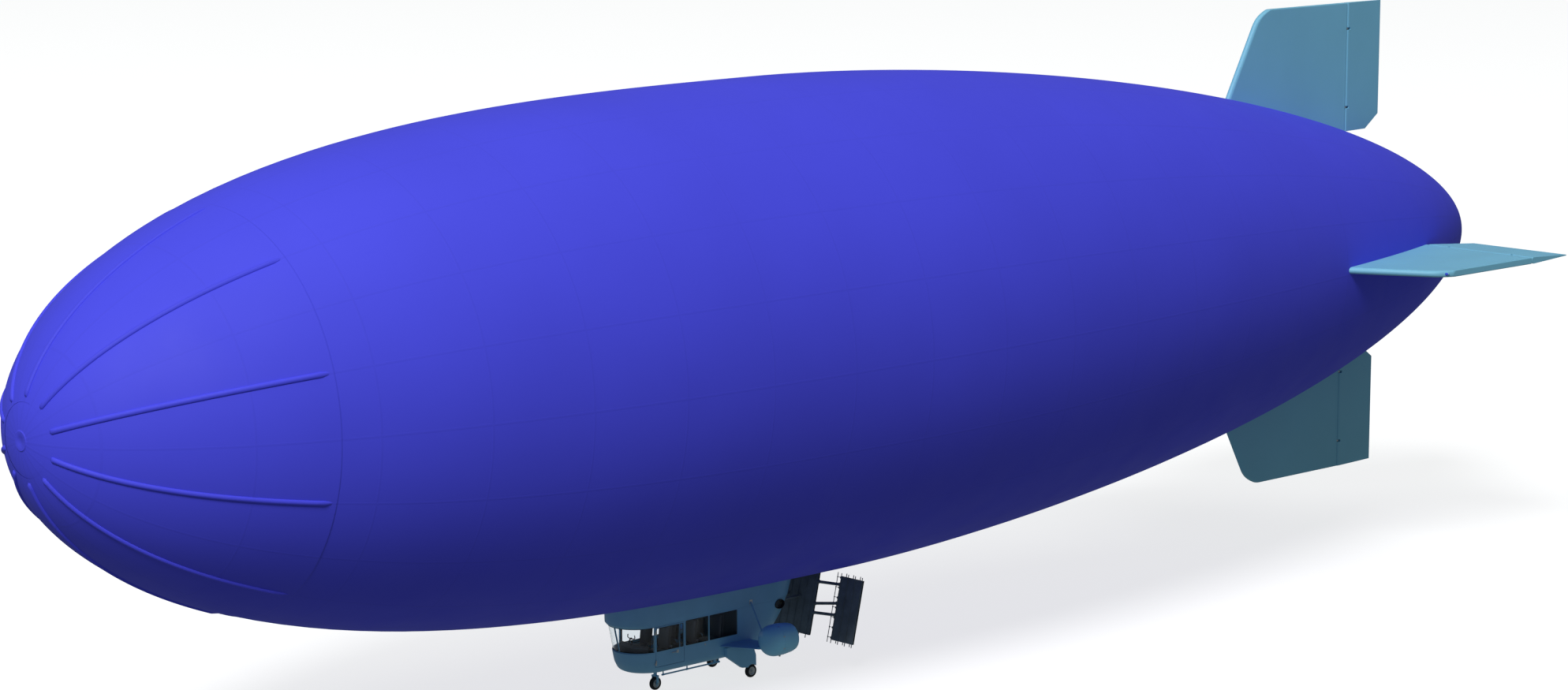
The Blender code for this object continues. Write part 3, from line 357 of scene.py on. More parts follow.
def envelope_cloth():
    """Coated cloth in gores and hoops, with faint welded seams and a fine weave."""
    colour = (0.068, 0.072, 0.77)
    material, nodes = paint("envelope_cloth", colour, 0.62, specular_ior_level=0.18)
    axes = nodes.axes()
    angle = nodes.math("ARCTAN2", axes["Y"], axes["Z"])
    squares = (nodes.math("MULTIPLY", axes[k], axes[k]) for k in "YZ")
    reach = nodes.math("SQRT", nodes.math("ADD", *squares))
    gore = 2 * pi / GORES
    off_gore = nodes.math("MULTIPLY", nodes.off_line(angle, gore, 2 * pi + gore / 2),
                          nodes.math("MULTIPLY", reach, gore))
    off_hoop = nodes.math("MULTIPLY", nodes.off_line(axes["X"], GIRTH_SPACING, 40 * GIRTH_SPACING),
                          GIRTH_SPACING)
    seam = nodes.math("MAXIMUM", nodes.spread(off_gore, 0.010, 0.020, 1.0, 0.0),
                      nodes.spread(off_hoop, 0.008, 0.016, 1.0, 0.0))
    cloud = nodes.spread(nodes.noise(0.35, 4.0), 0.3, 0.7)
    nodes.tint(colour, nodes.math("SUBTRACT", cloud, nodes.math("MULTIPLY", seam, 0.5)), 0.035)
    nodes.feed("Roughness", nodes.spread(nodes.noise(1.3), 0.3, 0.7, 0.58, 0.68))
    nodes.bump((seam, 0.25, 0.003), (nodes.noise(420.0, 2.0), 0.06, 0.001),
               (nodes.noise(0.9, 2.0), 0.10, 0.02))
    return material


def fin_cloth():
    """Doped cloth over ribs that show through faintly."""
    material, nodes = paint("fin_cloth", (0.205, 0.520, 0.71), 0.5, (0.8, 0.03, 0.46, 0.58),
                            specular_ior_level=0.4)
    spacing = 0.42
    off_rib = nodes.math("MULTIPLY", nodes.off_line(nodes.axes()["X"], spacing, 40.0), spacing)
    nodes.bump((nodes.spread(off_rib, 0.006, 0.022, 1.0, 0.0), 0.12, 0.002),
               (nodes.noise(300.0, 2.0), 0.06, 0.001))
    return material


def dark_board():
    """Near-black matt board with the marks of a fine upright grid."""
    material, nodes = paint("dark_board", (0.140, 0.180, 0.210), 0.62, (6.0, 0.18, 0.55, 0.72),
                            specular_ior_level=0.25)
    axes = nodes.axes()
    bars = nodes.spread(nodes.off_line(axes["Y"], 0.0310, 10.0), 0.36, 0.44)
    rows = nodes.spread(nodes.off_line(axes["Z"], 0.0515, 10.0), 0.42, 0.47)
    nodes.bump((nodes.math("MAXIMUM", bars, rows), 0.6, 0.003), (nodes.noise(300.0), 0.15, 0.001))
    return material


def seat_cloth():
    """Dark woven cloth: two crossed sets of fine ridges under a soft sheen."""
    material, nodes = paint("seat_cloth", (0.014, 0.020, 0.030), 0.9, (14.0, 0.22),
                            sheen_weight=0.03, sheen_roughness=0.5)
    ridges = nodes.math("MULTIPLY", *(nodes.wave(240.0, direction, 0.6) for direction in "XZ"))
    nodes.bump((ridges, 0.35, 0.0008), (nodes.noise(30.0), 0.15, 0.004))
    return material


def glazing():
    """Clear sheet with a faint blue cast and a little haze."""
    material, nodes = paint("glazing", (0.93, 0.97, 0.98), 0.0, transmission_weight=1.0, ior=1.15)
    nodes.feed("Roughness", nodes.spread(nodes.noise(6.0), 0.35, 0.75, 0.0, 0.012))
    return material


def lens(name, colour):
    """A moulded lamp lens with fine ribs."""
    material, nodes = paint(name, colour, 0.18, transmission_weight=0.35, coat_weight=0.6)
    nodes.bump((nodes.wave(90.0, "Z"), 0.25, 0.0008))
    return material


def plastic(name, colour, roughness, grain=500.0):
    return grained(name, colour, roughness, (8.0, 0.10, roughness - 0.06, roughness + 0.08),
                   (grain, 2.0, 0.25, 0.0006), specular_ior_level=0.35)


def metal(name, colour, roughness):
    return grained(name, colour, roughness, (12.0, 0.10, roughness - 0.08, roughness + 0.12),
                   (600.0, 2.0, 0.12, 0.0004), metallic=1.0)


LOOKS = {
    "envelope": envelope_cloth(),
    "fin": fin_cloth(),
    "cabin": grained("cabin_paint", (0.185, 0.460, 0.72), 0.38, (3.0, 0.05, 0.34, 0.46),
                     (9.0, 2.0, 0.10, 0.003), (260.0, 2.0, 0.05, 0.0008),
                     coat_weight=0.15, coat_roughness=0.25),
    # Pod paint: the cabin's own blue painted lighter, as painted light where the pods catch more light than the
    # cabin
    "pod": grained("pod_paint_painted_lighter", (0.230, 0.620, 0.92), 0.34, (4.0, 0.05, 0.30, 0.42),
                   (220.0, 2.0, 0.05, 0.0008), coat_weight=0.25, coat_roughness=0.2),
    "board": dark_board(),
    "trim": plastic("dark_trim", (0.016, 0.019, 0.024), 0.55),
    "lining": plastic("cabin_lining", (0.020, 0.028, 0.038), 0.75, 300.0),
    "cloth": seat_cloth(),
    "steel": metal("steel", (0.42, 0.44, 0.46), 0.32),
    "alloy": metal("alloy", (0.55, 0.57, 0.60), 0.38),
    "rubber": grained("rubber", (0.020, 0.021, 0.024), 0.82, (25.0, 0.25, 0.74, 0.90),
                      (350.0, 3.0, 0.3, 0.0008), specular_ior_level=0.3),
    "glass": glazing(),
    "green": lens("green_lens", (0.02, 0.62, 0.08)),
    "blue": lens("blue_lens", (0.03, 0.08, 0.85)),
    "dial": plastic("dial_face", (0.008, 0.008, 0.009), 0.4),
    "mark": plastic("dial_mark", (0.65, 0.66, 0.62), 0.5),
}
SLOTS = dict.fromkeys(LOOKS, "dark_grey")
SLOTS.update(envelope="envelope_blue", fin="fin_blue", cabin="cabin_blue", pod="cabin_blue",
             cloth="seat_cloth", steel="engine_grey", alloy="bare_metal", rubber="rubber")


def mesh_from(bm):
    mesh = bpy.data.meshes.new("shape")
    bm.to_mesh(mesh)
    bm.free()
    return mesh


def shown(name, data):
    """A new object in the scene."""
    thing = bpy.data.objects.new(name, data)
    bpy.context.scene.collection.objects.link(thing)
    return thing


def taken(thing):
    """An object's finished mesh; the object itself is removed."""
    graph = bpy.context.evaluated_depsgraph_get()
    graph.update()
    mesh = bpy.data.meshes.new_from_object(thing.evaluated_get(graph))
    bpy.data.objects.remove(thing, do_unlink=True)
    return mesh


def loft(rings, caps=True):
    """Quads between rings of equally many points."""
    bm = bmesh.new()
    loops = [[bm.verts.new(point) for point in ring] for ring in rings]
    count = len(loops[0])
    for near, far in zip(loops, loops[1:]):
        for i in range(count):
            j = (i + 1) % count
            bm.faces.new((near[i], near[j], far[j], far[i]))
    if caps:
        bm.faces.new(loops[0][::-1])
        bm.faces.new(loops[-1])
    bmesh.ops.recalc_face_normals(bm, faces=bm.faces)
    return mesh_from(bm)


def lathe(profile, sides, place=Matrix.Identity(4), closed=False):
    """Turns a profile of (x, radius) round the X axis, then puts it in its place."""
    bm = bmesh.new()
    loops = []
    for x, r in profile:
        if r < 1e-6:
            loops.append([bm.verts.new(place @ Vector((x, 0, 0)))] * sides)
        else:
            turn = (2 * pi * i / sides for i in range(sides))
            loops.append([bm.verts.new(place @ Vector((x, r * sin(a), r * cos(a)))) for a in turn])
    pairs = list(zip(loops, loops[1:]))
    if closed:
        pairs.append((loops[-1], loops[0]))
    for near, far in pairs:
        for i in range(sides):
            j = (i + 1) % sides
            corners = list(dict.fromkeys((near[i], near[j], far[j], far[i])))
            if len(corners) > 2:
                bm.faces.new(corners)
    bmesh.ops.recalc_face_normals(bm, faces=bm.faces)
    return mesh_from(bm)


def block(low, high):
    bm = bmesh.new()
    low, high = Vector(low), Vector(high)
    place = Matrix.Translation((low + high) / 2) @ Matrix.Diagonal((*(high - low), 1))
    bmesh.ops.create_cube(bm, size=1.0, matrix=place)
    return mesh_from(bm)


def bar(start, end, radius, sides=16):
    start, end = Vector(start), Vector(end)
    run = end - start
    place = Matrix.Translation((start + end) / 2) @ run.to_track_quat("Z", "Y").to_matrix().to_4x4()
    bm = bmesh.new()
    bmesh.ops.create_cone(bm, cap_ends=True, segments=sides, radius1=radius, radius2=radius,
                          depth=run.length, matrix=place)
    return mesh_from(bm)


def ball(centre, radii, rows=12):
    bm = bmesh.new()
    place = Matrix.Translation(centre) @ Matrix.Diagonal((*radii, 1))
    bmesh.ops.create_uvsphere(bm, u_segments=rows * 2, v_segments=rows, radius=1.0, matrix=place)
    return mesh_from(bm)


def joined(meshes):
    bm = bmesh.new()
    for mesh in meshes:
        bm.from_mesh(mesh)
    return mesh_from(bm)


def put(spot, angle=0.0, axis="X"):
    return Matrix.Translation(spot) @ Matrix.Rotation(angle, 4, axis)


def moved(mesh, matrix):
    copy = mesh.copy()
    copy.transform(matrix)
    if matrix.determinant() < 0:
        copy.flip_normals()
    return copy


def around(mesh, count, place=Matrix.Identity(4), first=0.0):
    """Copies turned evenly about the X axis, then put in their place."""
    turns = (Matrix.Rotation(2 * pi * (k + first) / count, 4, "X") for k in range(count))
    return [moved(mesh, place @ turn) for turn in turns]


def circle(count, x, radius, first=0.0):
    """Points evenly round the X axis."""
    angles = (2 * pi * (k + first) / count for k in range(count))
    return [Vector((x, radius * cos(a), radius * sin(a))) for a in angles]


def worked(mesh, *steps):
    """The mesh after modifiers, each given as (kind, settings)."""
    thing = shown("work", mesh)
    for kind, settings in steps:
        step = thing.modifiers.new(kind.lower(), kind)
        for key, value in settings.items():
            setattr(step, key, value)
    return taken(thing)


def bevelled(mesh, width, segments=2, angle=30):
    return worked(mesh, ("BEVEL", {"width": width, "segments": segments, "limit_method": "ANGLE",
                                   "angle_limit": radians(angle), "harden_normals": False}))


def slab(low, high, ease=0.002, segments=2):
    return bevelled(block(low, high), ease, segments)


def pin(start, end, radius, sides=32, ease=0.002):
    return bevelled(bar(start, end, radius, sides), ease)


def carved(mesh, tools):
    """The mesh with other closed meshes cut out of it."""
    helpers = [shown("tool", tool) for tool in tools]
    result = worked(mesh, *(("BOOLEAN", {"operation": "DIFFERENCE", "solver": "EXACT", "object": helper})
                            for helper in helpers))
    for helper in helpers:
        bpy.data.objects.remove(helper, do_unlink=True)
    return result


def tube(points, radius, closed=False, resolution=3):
    """A bent tube, its ends capped."""
    curve = bpy.data.curves.new("path", "CURVE")
    curve.dimensions = "3D"
    curve.bevel_depth = radius
    curve.bevel_resolution = resolution
    curve.use_fill_caps = True
    line = curve.splines.new("POLY")
    line.points.add(len(points) - 1)
    line.use_cyclic_u = closed
    for spot, point in zip(line.points, points):
        spot.co = (*point, 1.0)
    return taken(shown("path", curve))


def rounded_path(points, radius, closed=False):
    """Points with each corner turned into an arc."""
    points = [Vector(p) for p in points]
    count, steps = len(points), 5
    path = []
    for i, corner in enumerate(points):
        if not closed and i in (0, count - 1):
            path.append(corner)
            continue
        before = (points[i - 1] - corner).normalized() * radius
        after = (points[(i + 1) % count] - corner).normalized() * radius
        path += [corner + before * (1 - t) ** 2 + after * t ** 2 for t in (k / steps for k in range(steps + 1))]
    return path


def smoothed(points, count):
    """Points on a smooth curve through the given ones."""
    last = len(points) - 1
    made = [points[0]]
    for i in range(last):
        near = (points[min(max(k, 0), last)] for k in (i - 1, i, i + 1, i + 2))
        rows = list(zip(*near))
        for t in (k / count for k in range(1, count + 1)):
            made.append(tuple(0.5 * (2 * b + (c - a) * t + (2 * a - 5 * b + 4 * c - d) * t * t
                                     + (3 * b - a - 3 * c + d) * t ** 3) for a, b, c, d in rows))
    return made


def piece(name, mesh, look, body="airframe", replaces=(), sharp=35):
    """One finished object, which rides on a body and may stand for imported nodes."""
    mesh.shade_smooth()
    mesh.set_sharp_from_angle(angle=radians(sharp))
    if look not in ("envelope", "cloth"):
        mesh = worked(mesh, ("WEIGHTED_NORMAL", {"keep_sharp": True}))
    mesh.materials.clear()
    mesh.materials.append(LOOKS[look])
    mesh.name = name
    thing = shown(name, mesh)
    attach(thing, body)
    if replaces:
        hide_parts(*replaces)
    return thing


def both(name, mesh, look, bodies=("airframe", "airframe"), replaces=None, sharp=35):
    """A port piece and its mirror image to starboard."""
    shapes = (mesh, moved(mesh, Matrix.Diagonal((1, -1, 1, 1))))
    for (side, _), body, shape in zip(SIDES, bodies, shapes):
        nodes = (f"{replaces}_{side}",) if replaces else ()
        piece(f"{name}_{side}", shape, look, body, nodes, sharp)


def softened(node, look, body="airframe", width=0.003, segments=2):
    """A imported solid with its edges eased, in its own place."""
    bm = bmesh.new()
    bm.from_mesh(frame["nodes"][node].data)
    bmesh.ops.remove_doubles(bm, verts=bm.verts, dist=0.00002)
    bmesh.ops.dissolve_limit(bm, angle_limit=radians(1.0), verts=bm.verts, edges=bm.edges)
    mesh = bevelled(mesh_from(bm), width, segments, 35)
    piece(f"{node}_finish", mesh, look, body, (node,))


def station(share):
    return NOSE_X - share * LENGTH


def envelope_radius(share):
    if share < WIDEST:
        (inner, outer), along = FORE_POWERS, (WIDEST - share) / WIDEST
    else:
        (inner, outer), along = AFT_POWERS, (share - WIDEST) / (1 - WIDEST)
    return RADIUS * max(1 - along ** inner, 0) ** (1 / outer)


def envelope_skin():
    """Smooth skin with the doubled cloth at the nose ending in a small step."""
    fore = [NOSE_RING + (PATCH_END - NOSE_RING) * (i / 30) ** 1.6 for i in range(31)]
    fore.insert(-1, PATCH_END - 0.0003)
    middle = [PATCH_END + 0.0003, PATCH_END + 0.0006]
    middle += [PATCH_END + 0.0009 + (WIDEST - PATCH_END) * sin(pi / 2 * i / 44) for i in range(1, 45)]
    aft = [WIDEST + (1 - WIDEST) * sin(pi / 2 * i / 60) for i in range(1, 61)]
    profile = [(station(t), envelope_radius(t) + PATCH_THICK) for t in fore]
    profile += [(station(t), envelope_radius(t)) for t in middle + aft]
    profile[-1] = (TAIL_X, 0.0)
    piece("envelope_skin", lathe(profile, 144), "envelope", replaces=("envelope",), sharp=60)


def nose_dome():
    """Smooth cap over the nose, flat where a mast holds it, with a shallow dish there."""
    dish_x = NOSE_X - NOSE_DISH
    profile = [(dish_x, 0.0), (dish_x, NOSE_FACE * 0.42), (NOSE_X, NOSE_FACE * 0.47), (NOSE_X, NOSE_FACE)]
    for i in range(12):
        t = NOSE_FACE_END + (NOSE_RING - NOSE_FACE_END) * (i / 12) ** 1.5
        profile.append((station(t), envelope_radius(t)))
    profile.append((station(NOSE_RING) - 0.004, envelope_radius(NOSE_RING) + PATCH_THICK))
    piece("nose_dome", lathe(profile, 96), "envelope", replaces=("nose_cap",), sharp=50)


def batten():
    """A rounded stiffener, thinned out to the cloth at both ends."""
    count = 36
    first = NOSE_RING + 0.0008
    rings = []
    for i in range(count + 1):
        t = first + (BATTEN_END - first) * (i / count) ** 1.5
        ahead, behind = max(t - 0.0004, 0.0001), t + 0.0004
        run = Vector((station(behind) - station(ahead), 0, envelope_radius(behind) - envelope_radius(ahead)))
        out = Vector((run.z, 0, -run.x)).normalized()
        swell = sqrt(min(i, count - i, 1))
        height = BATTEN_HEIGHT * max(swell, 0.05)
        half = BATTEN_WIDTH / 2 * (0.6 + 0.4 * swell)
        base = Vector((station(t), 0, envelope_radius(t)))
        arch = (pi * k / 8 for k in range(9))
        rings.append([base + Vector((0, half * cos(a), 0)) + out * height * sin(a) for a in arch])
    return loft(rings)


def nose_stiffeners():
    spokes = joined(around(batten(), BATTENS))
    piece("nose_stiffeners", spokes, "envelope", replaces=("nose_battens",), sharp=60)


def fin_leading_x(span, tip):
    """Leading edge: swept straight, then a rounded corner to the tip."""
    (low_share, low), (high_share, high) = FIN_FRONT
    x = station(low_share) + (station(high_share) - station(low_share)) / (high - low) * (span - low)
    return x - FIN_SWEEP * max((span - tip + FIN_CORNER) / FIN_CORNER, 0) ** 3


def fin_section(front, half):
    """Half round in front and flat on both sides, with small rounds at the back."""
    turn = (pi / 2 * i / 10 for i in range(11))
    upper = [(front - FIN_HALF * 1.3 * (1 - cos(a)), half * sin(a)) for a in turn]
    flat = upper[-1][0]
    upper += [(flat + (FIN_BACK - flat) * i / 8, half) for i in range(1, 8)]
    upper += [(FIN_BACK + 0.004, half), (FIN_BACK, max(half - 0.004, 0.0005))]
    return upper + [(x, -y) for x, y in reversed(upper[1:])]


def fin(place, turn, tip, rise):
    """A plate whose foot follows the envelope and whose tip is rounded off."""
    foot = []
    for x, y in fin_section(fin_leading_x(FIN_FOOT, tip), FIN_HALF):
        reach = envelope_radius((NOSE_X - x) / LENGTH)
        foot.append((x, y, sqrt(reach ** 2 - (abs(y) + rise) ** 2) - 0.012))
    spans = [FIN_ROOT + (tip - 0.33 - FIN_ROOT) * i / 3 for i in range(4)]
    spans += [tip - FIN_CORNER + (FIN_CORNER - FIN_EDGE) * i / 9 for i in range(10)]
    rounds = [(s, 0.0) for s in spans]
    corner = (pi / 8 * i for i in range(1, 5))
    rounds += [(tip - FIN_EDGE * (1 - sin(a)), FIN_EDGE * (1 - cos(a))) for a in corner]
    rings = [[(x, y, s) for x, y in fin_section(fin_leading_x(s, tip) - inset, FIN_HALF - inset)]
             for s, inset in rounds]
    placing = put((0, 0, rise), turn)
    skin = moved(loft([foot] + rings), placing)
    piece(f"fin_{place}_skin", skin, "fin", replaces=(f"fin_{place}",), sharp=50)
    lugs = []
    for s in (FIN_LUG, tip - 0.45):
        lugs += [pin((HINGE_X, 0, s - 0.015), (HINGE_X, 0, s + 0.015), 0.030),
                 slab((HINGE_X, -0.024, s - 0.0149), (FIN_BACK + 0.01, 0.024, s + 0.0149), 0.0015),
                 bar((HINGE_X, 0, s - 0.0185), (HINGE_X, 0, s + 0.0185), 0.016, 6)]
    piece(f"fin_{place}_lugs", moved(joined(lugs), placing), "alloy")
    strips = [block((FIN_BACK + 0.012, y - 0.0012, 2.05), (FIN_BACK + 0.040, y + 0.0012, tip - 0.02))
              for y in (FIN_HALF, -FIN_HALF)]
    piece(f"fin_{place}_tape", moved(joined(strips), placing), "fin")


def tail():
    """Fins with rounded edges, moving surfaces, and a lamp at each side fin's tip."""
    for place, turn, tip, rise in FINS:
        fin(place, turn, tip, rise)
        moving = f"{'elevator' if rise else 'rudder'}_{place}"
        softened(moving, "fin", moving, width=0.005)
    for (side, sign), look in zip(SIDES, ("blue", "green")):
        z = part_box(f"fin_{side}")[0].z + FIN_HALF
        x, y = fin_leading_x(4.05, 4.10) + 0.004, sign * TIP_LAMP_SPAN
        piece(f"tip_lamp_{side}", ball((x, y, z), (0.030, 0.036, 0.026), 16), look)
        foot = ball((x - 0.012, y - sign * 0.005, z), (0.036, 0.044, 0.032), 16)
        piece(f"tip_lamp_foot_{side}", foot, "fin")


def outline(bow, end, half):
    """A level's outline in x and y, from the bow round by port and back by starboard."""
    bow_turn = (pi / 2 * i / BOW_STEPS for i in range(BOW_STEPS + 1))
    port = [(bow - BOW_ROUND * (1 - cos(a)), half * sin(a)) for a in bow_turn]
    tail_turn = (pi / 2 * i / TAIL_STEPS for i in range(TAIL_STEPS, -1, -1))
    port += [(end + TAIL_ROUND * (1 - max(cos(a), 0) ** 0.8), half * sin(a) ** 0.8) for a in tail_turn]
    return port + [(x, -y) for x, y in reversed(port[1:-1])]


def level_ring(level, inset=0.0):
    height, bow, end, half = level
    half = min(half, HALF_WIDTH)
    return [(x, y, height) for x, y in outline(bow - inset, end + inset, half - inset)]


def cutters(x, z, near):
    """Blocks through the port wall and the starboard wall."""
    return [block((x[0], min(y), z[0]), (x[1], max(y), z[1])) for y in ((near, 1), (-near, -1))]


def door_holes():
    return cutters(DOOR_HOLE_X, DOOR_HOLE_Z, 0.3)


def hull():
    outer = smoothed(HULL_LEVELS, 4)
    inner = [(max(z, BELLY + WALL), *rest) for z, *rest in reversed(outer[4:])]
    rings = [level_ring(level) for level in outer] + [level_ring(level, WALL) for level in inner]
    shell = bevelled(carved(loft(rings), door_holes()), 0.0015)
    piece("hull_skin", shell, "cabin", replaces=("hull_lower",), sharp=40)


def oval(y, scale=1.0):
    (x, z), (wide, high) = DUCT_MIDDLE, DUCT_HALF
    turn = (2 * pi * i / 40 for i in range(40))
    return [(x + wide * scale * sin(a), y, z + high * scale * cos(a)) for a in turn]


def window_frame():
    outer = smoothed(FRAME_LEVELS, 6)
    rings = [level_ring(level) for level in outer] + [level_ring(level, WALL) for level in reversed(outer)]
    bm = bmesh.new()
    bm.from_mesh(loft(rings + [rings[0]], caps=False))
    bmesh.ops.remove_doubles(bm, verts=bm.verts, dist=0.00001)
    bmesh.ops.recalc_face_normals(bm, faces=bm.faces)
    holes = cutters((WINDSCREEN_END_X, 5), (SILL_Z, HEAD_Z), CENTRE_POST / 2)
    for ends in SIDE_WINDOWS:
        holes += cutters(ends, (SILL_Z, HEAD_Z), 0.02)
    holes += door_holes() + [loft([oval(a), oval(b)]) for a, b in ((0.25, 0.50), (-0.50, -0.25))]
    shell = bevelled(carved(mesh_from(bm), holes), 0.0015)
    piece("window_frame", shell, "cabin", replaces=("cabin_frame",), sharp=40)
    rims, grilles = [], []
    for _, sign in SIDES:
        rims.append(loft([oval(sign * y, scale) for y, scale in (
            (HALF_WIDTH - DUCT_DEPTH, 0.93), (HALF_WIDTH, 1.13), (HALF_WIDTH + 0.004, 1.10),
            (HALF_WIDTH + 0.004, 1.0), (HALF_WIDTH - DUCT_DEPTH, 0.90))], caps=False))
        y = sign * (HALF_WIDTH - DUCT_DEPTH / 2)
        for drop in (k * DUCT_BARS for k in range(-3, 4)):
            reach = DUCT_HALF[0] * 0.93 * sqrt(1 - (drop / DUCT_HALF[1]) ** 2)
            middle, half = Vector((DUCT_MIDDLE[0], y, DUCT_MIDDLE[1] + drop)), Vector((reach, 0.006, 0.0015))
            grilles.append(slab(middle - half, middle + half, 0.0008))
    piece("duct_rims", joined(rims), "trim")
    piece("duct_grilles", joined(grilles), "alloy")


def roof():
    """From the windows up to the envelope, hollow under the ceiling."""
    *levels, crown = ROOF_LEVELS
    top = []
    for x, y in outline(*crown[1:]):
        reach = envelope_radius((NOSE_X - x) / LENGTH)
        top.append((x, y, 0.006 - sqrt(reach ** 2 - y ** 2)))
    rings = [top] + [level_ring(level) for level in reversed(levels)]
    for (_, bow, end, half), z in ((levels[0], ROOF_FOOT), (crown, DECK_Z)):
        rings.append([(x, y, z) for x, y in outline(bow - ROOF_WALL, end + ROOF_WALL, half - WALL)])
    shell = bevelled(loft(rings), 0.003, angle=40)
    piece("roof_skin", shell, "cabin", replaces=("roof_fairing",), sharp=40)
    piece("roof_seam", tube([(x, y, z - 0.010) for x, y, z in top], 0.008, closed=True), "cabin")


def trimmed_side(height, count, back):
    """Points of the port side from the centre post aft to an x, evenly spaced."""
    (low_z, low_bow), _, (high_z, high_bow) = (level[:2] for level in FRAME_LEVELS)
    bow = low_bow + (high_bow - low_bow) * (height - low_z) / (high_z - low_z)
    path = [Vector((x, y)) for x, y in outline(bow, 0.4, HALF_WIDTH)[:BOW_STEPS + 1] if x > back]
    path[0] = Vector((path[0].x, CENTRE_POST / 2 - 0.004))
    path.append(Vector((back, HALF_WIDTH)))
    run = [0.0]
    for near, far in zip(path, path[1:]):
        run.append(run[-1] + (far - near).length)
    points = []
    for i in range(count):
        goal = run[-1] * i / (count - 1)
        k = max(j for j in range(len(path) - 1) if run[j] <= goal + 1e-9)
        points.append(path[k].lerp(path[k + 1], (goal - run[k]) / (run[k + 1] - run[k])))
    return points


def windscreen():
    """A curved pane each side of the centre post, in a rubber edge."""
    count = 24
    outer, inner = [], []
    for z in (SILL_Z - 0.008, (SILL_Z + HEAD_Z) / 2, HEAD_Z + 0.008):
        line = trimmed_side(z, count, WINDSCREEN_END_X - 0.008)
        for depth, rows in ((PANE, outer), (2 * PANE, inner)):
            row = []
            for i, point in enumerate(line):
                along = line[min(i + 1, count - 1)] - line[max(i - 1, 0)]
                inward = Vector((-along.y, along.x)).normalized()
                row.append((*(point + inward * depth), z))
            rows.append(row)
    rings = [[row[i] for row in outer] + [row[i] for row in reversed(inner)] for i in range(count)]
    both("windscreen", loft(rings), "glass", sharp=60)
    sill, head = ([(*spot, z) for spot in trimmed_side(z, count, WINDSCREEN_END_X)] for z in (SILL_Z, HEAD_Z))
    both("windscreen_rubber", tube(sill + head[::-1], RUBBER_R, closed=True), "rubber")


def flat_windows(name, panes, top, bodies=("airframe", "airframe"), corner=0.015):
    """Panes and their rubber edges in a flat side wall."""
    sheets, rims = [], []
    middle = HALF_WIDTH - WALL / 2
    for low, high in panes:
        sheets.append(block((low - 0.005, middle - PANE / 2, SILL_Z - 0.005),
                            (high + 0.005, middle + PANE / 2, top + 0.005)))
        for y in (HALF_WIDTH, INSIDE):
            corners = [(low, y, SILL_Z), (high, y, SILL_Z), (high, y, top), (low, y, top)]
            rims.append(tube(rounded_path(corners, corner, closed=True), RUBBER_R, closed=True))
    both(f"{name}_glass", joined(sheets), "glass", bodies)
    both(f"{name}_rubber", joined(rims), "rubber", bodies)


def hinges(name, bodies, lift, back, front):
    """Barrels and leaves of the doors' hinges; a leaf runs from one x to another off the pin."""
    made = []
    x, y, _ = DOOR_HINGE
    for low in (height + lift for height in DOOR_HINGE_HEIGHTS):
        high = low + DOOR_KNUCKLE
        made += [pin((x, y, low), (x, y, high), 0.009, 24, 0.0012),
                 slab((x + back, HALF_WIDTH - 0.004, low), (x + front, HALF_WIDTH + 0.009, high), 0.0012)]
    both(name, joined(made), "alloy", bodies)


def door_stops():
    """Strips on the inside of the doorway, which the shut door covers."""
    (back, front), (low, high) = DOOR_HOLE_X, DOOR_HOLE_Z
    inside, depth, over, under = INSIDE - 0.0015, 0.010, 0.009, 0.010
    edges = ((back - under, back + over, low, high), (front - over, front + under, low, high),
             (back, front, low - under, low + over), (back, front, high - over, high + under))
    strips = [slab((a, inside - depth, c), (b, inside, d)) for a, b, c, d in edges]
    both("door_stop", joined(strips), "rubber")


def doors():
    """Each door with eased edges, its panes, lever, pocket and grip."""
    bodies = ("door_port", "door_starboard")
    door_stops()
    (back, front), (low, high) = DOOR_HOLE_X, DOOR_HOLE_Z
    leaf = block((back + DOOR_GAP, INSIDE, low + DOOR_GAP), (front - DOOR_GAP, HALF_WIDTH, high - DOOR_GAP))
    panes = [block((a, 0.3, SILL_Z), (b, 0.5, DOOR_GLASS_TOP)) for a, b in DOOR_PANES]
    both("door_leaf", bevelled(carved(leaf, panes), 0.002, 3), "cabin", bodies, replaces="door")
    hinges("door_hinges", bodies, 0, -0.016, 0)
    hinges("hull_hinges", ("airframe", "airframe"), -DOOR_KNUCKLE - GAP, 0, 0.022)
    flat_windows("door", DOOR_PANES, DOOR_GLASS_TOP, bodies, 0.008)
    y = HALF_WIDTH + 0.011
    lever = rounded_path([(2.843, y, LEVER_Z), (2.735, y, LEVER_Z), (2.724, y - 0.012, LEVER_Z)], 0.008)
    plate = slab((2.700, HALF_WIDTH - 0.001, -4.612), (2.745, HALF_WIDTH + 0.004, -4.566))
    both("door_lever", joined([tube(lever, 0.0055), plate]), "alloy", bodies)
    y = INSIDE - 0.001
    grip = rounded_path([(2.70, y, -4.562), (2.70, y - 0.026, -4.562), (2.95, y - 0.026, -4.562),
                         (2.95, y, -4.562)], 0.012)
    pocket = slab((2.66, y - 0.022, -4.735), (3.06, y, -4.640), 0.004)
    both("door_grip", joined([tube(grip, 0.005), pocket]), "trim", bodies)


def cabin():
    hull()
    window_frame()
    roof()
    windscreen()
    flat_windows("side", SIDE_WINDOWS, HEAD_Z)
    doors()
    cap = [(0.0, 0.0), (0.0, 0.013), (0.004, 0.013), (0.006, 0.010), (0.008, 0.010), (0.009, 0.0)]
    both("filler_cap", lathe(cap, 32, put(FILLER_AT, pi / 2, "Z")), "alloy")
    softened("aft_bulkhead", "lining", width=0.002)
    softened("cabin_floor", "lining", width=0.001)
    first, spacing, count = FLOOR_RIBS
    ribs = [slab((x, -0.36, FLOOR_TOP - 0.001), (x + 0.012, 0.36, FLOOR_TOP + 0.003), 0.001)
            for x in (first + spacing * i for i in range(count))]
    piece("floor_ribs", joined(ribs), "lining")


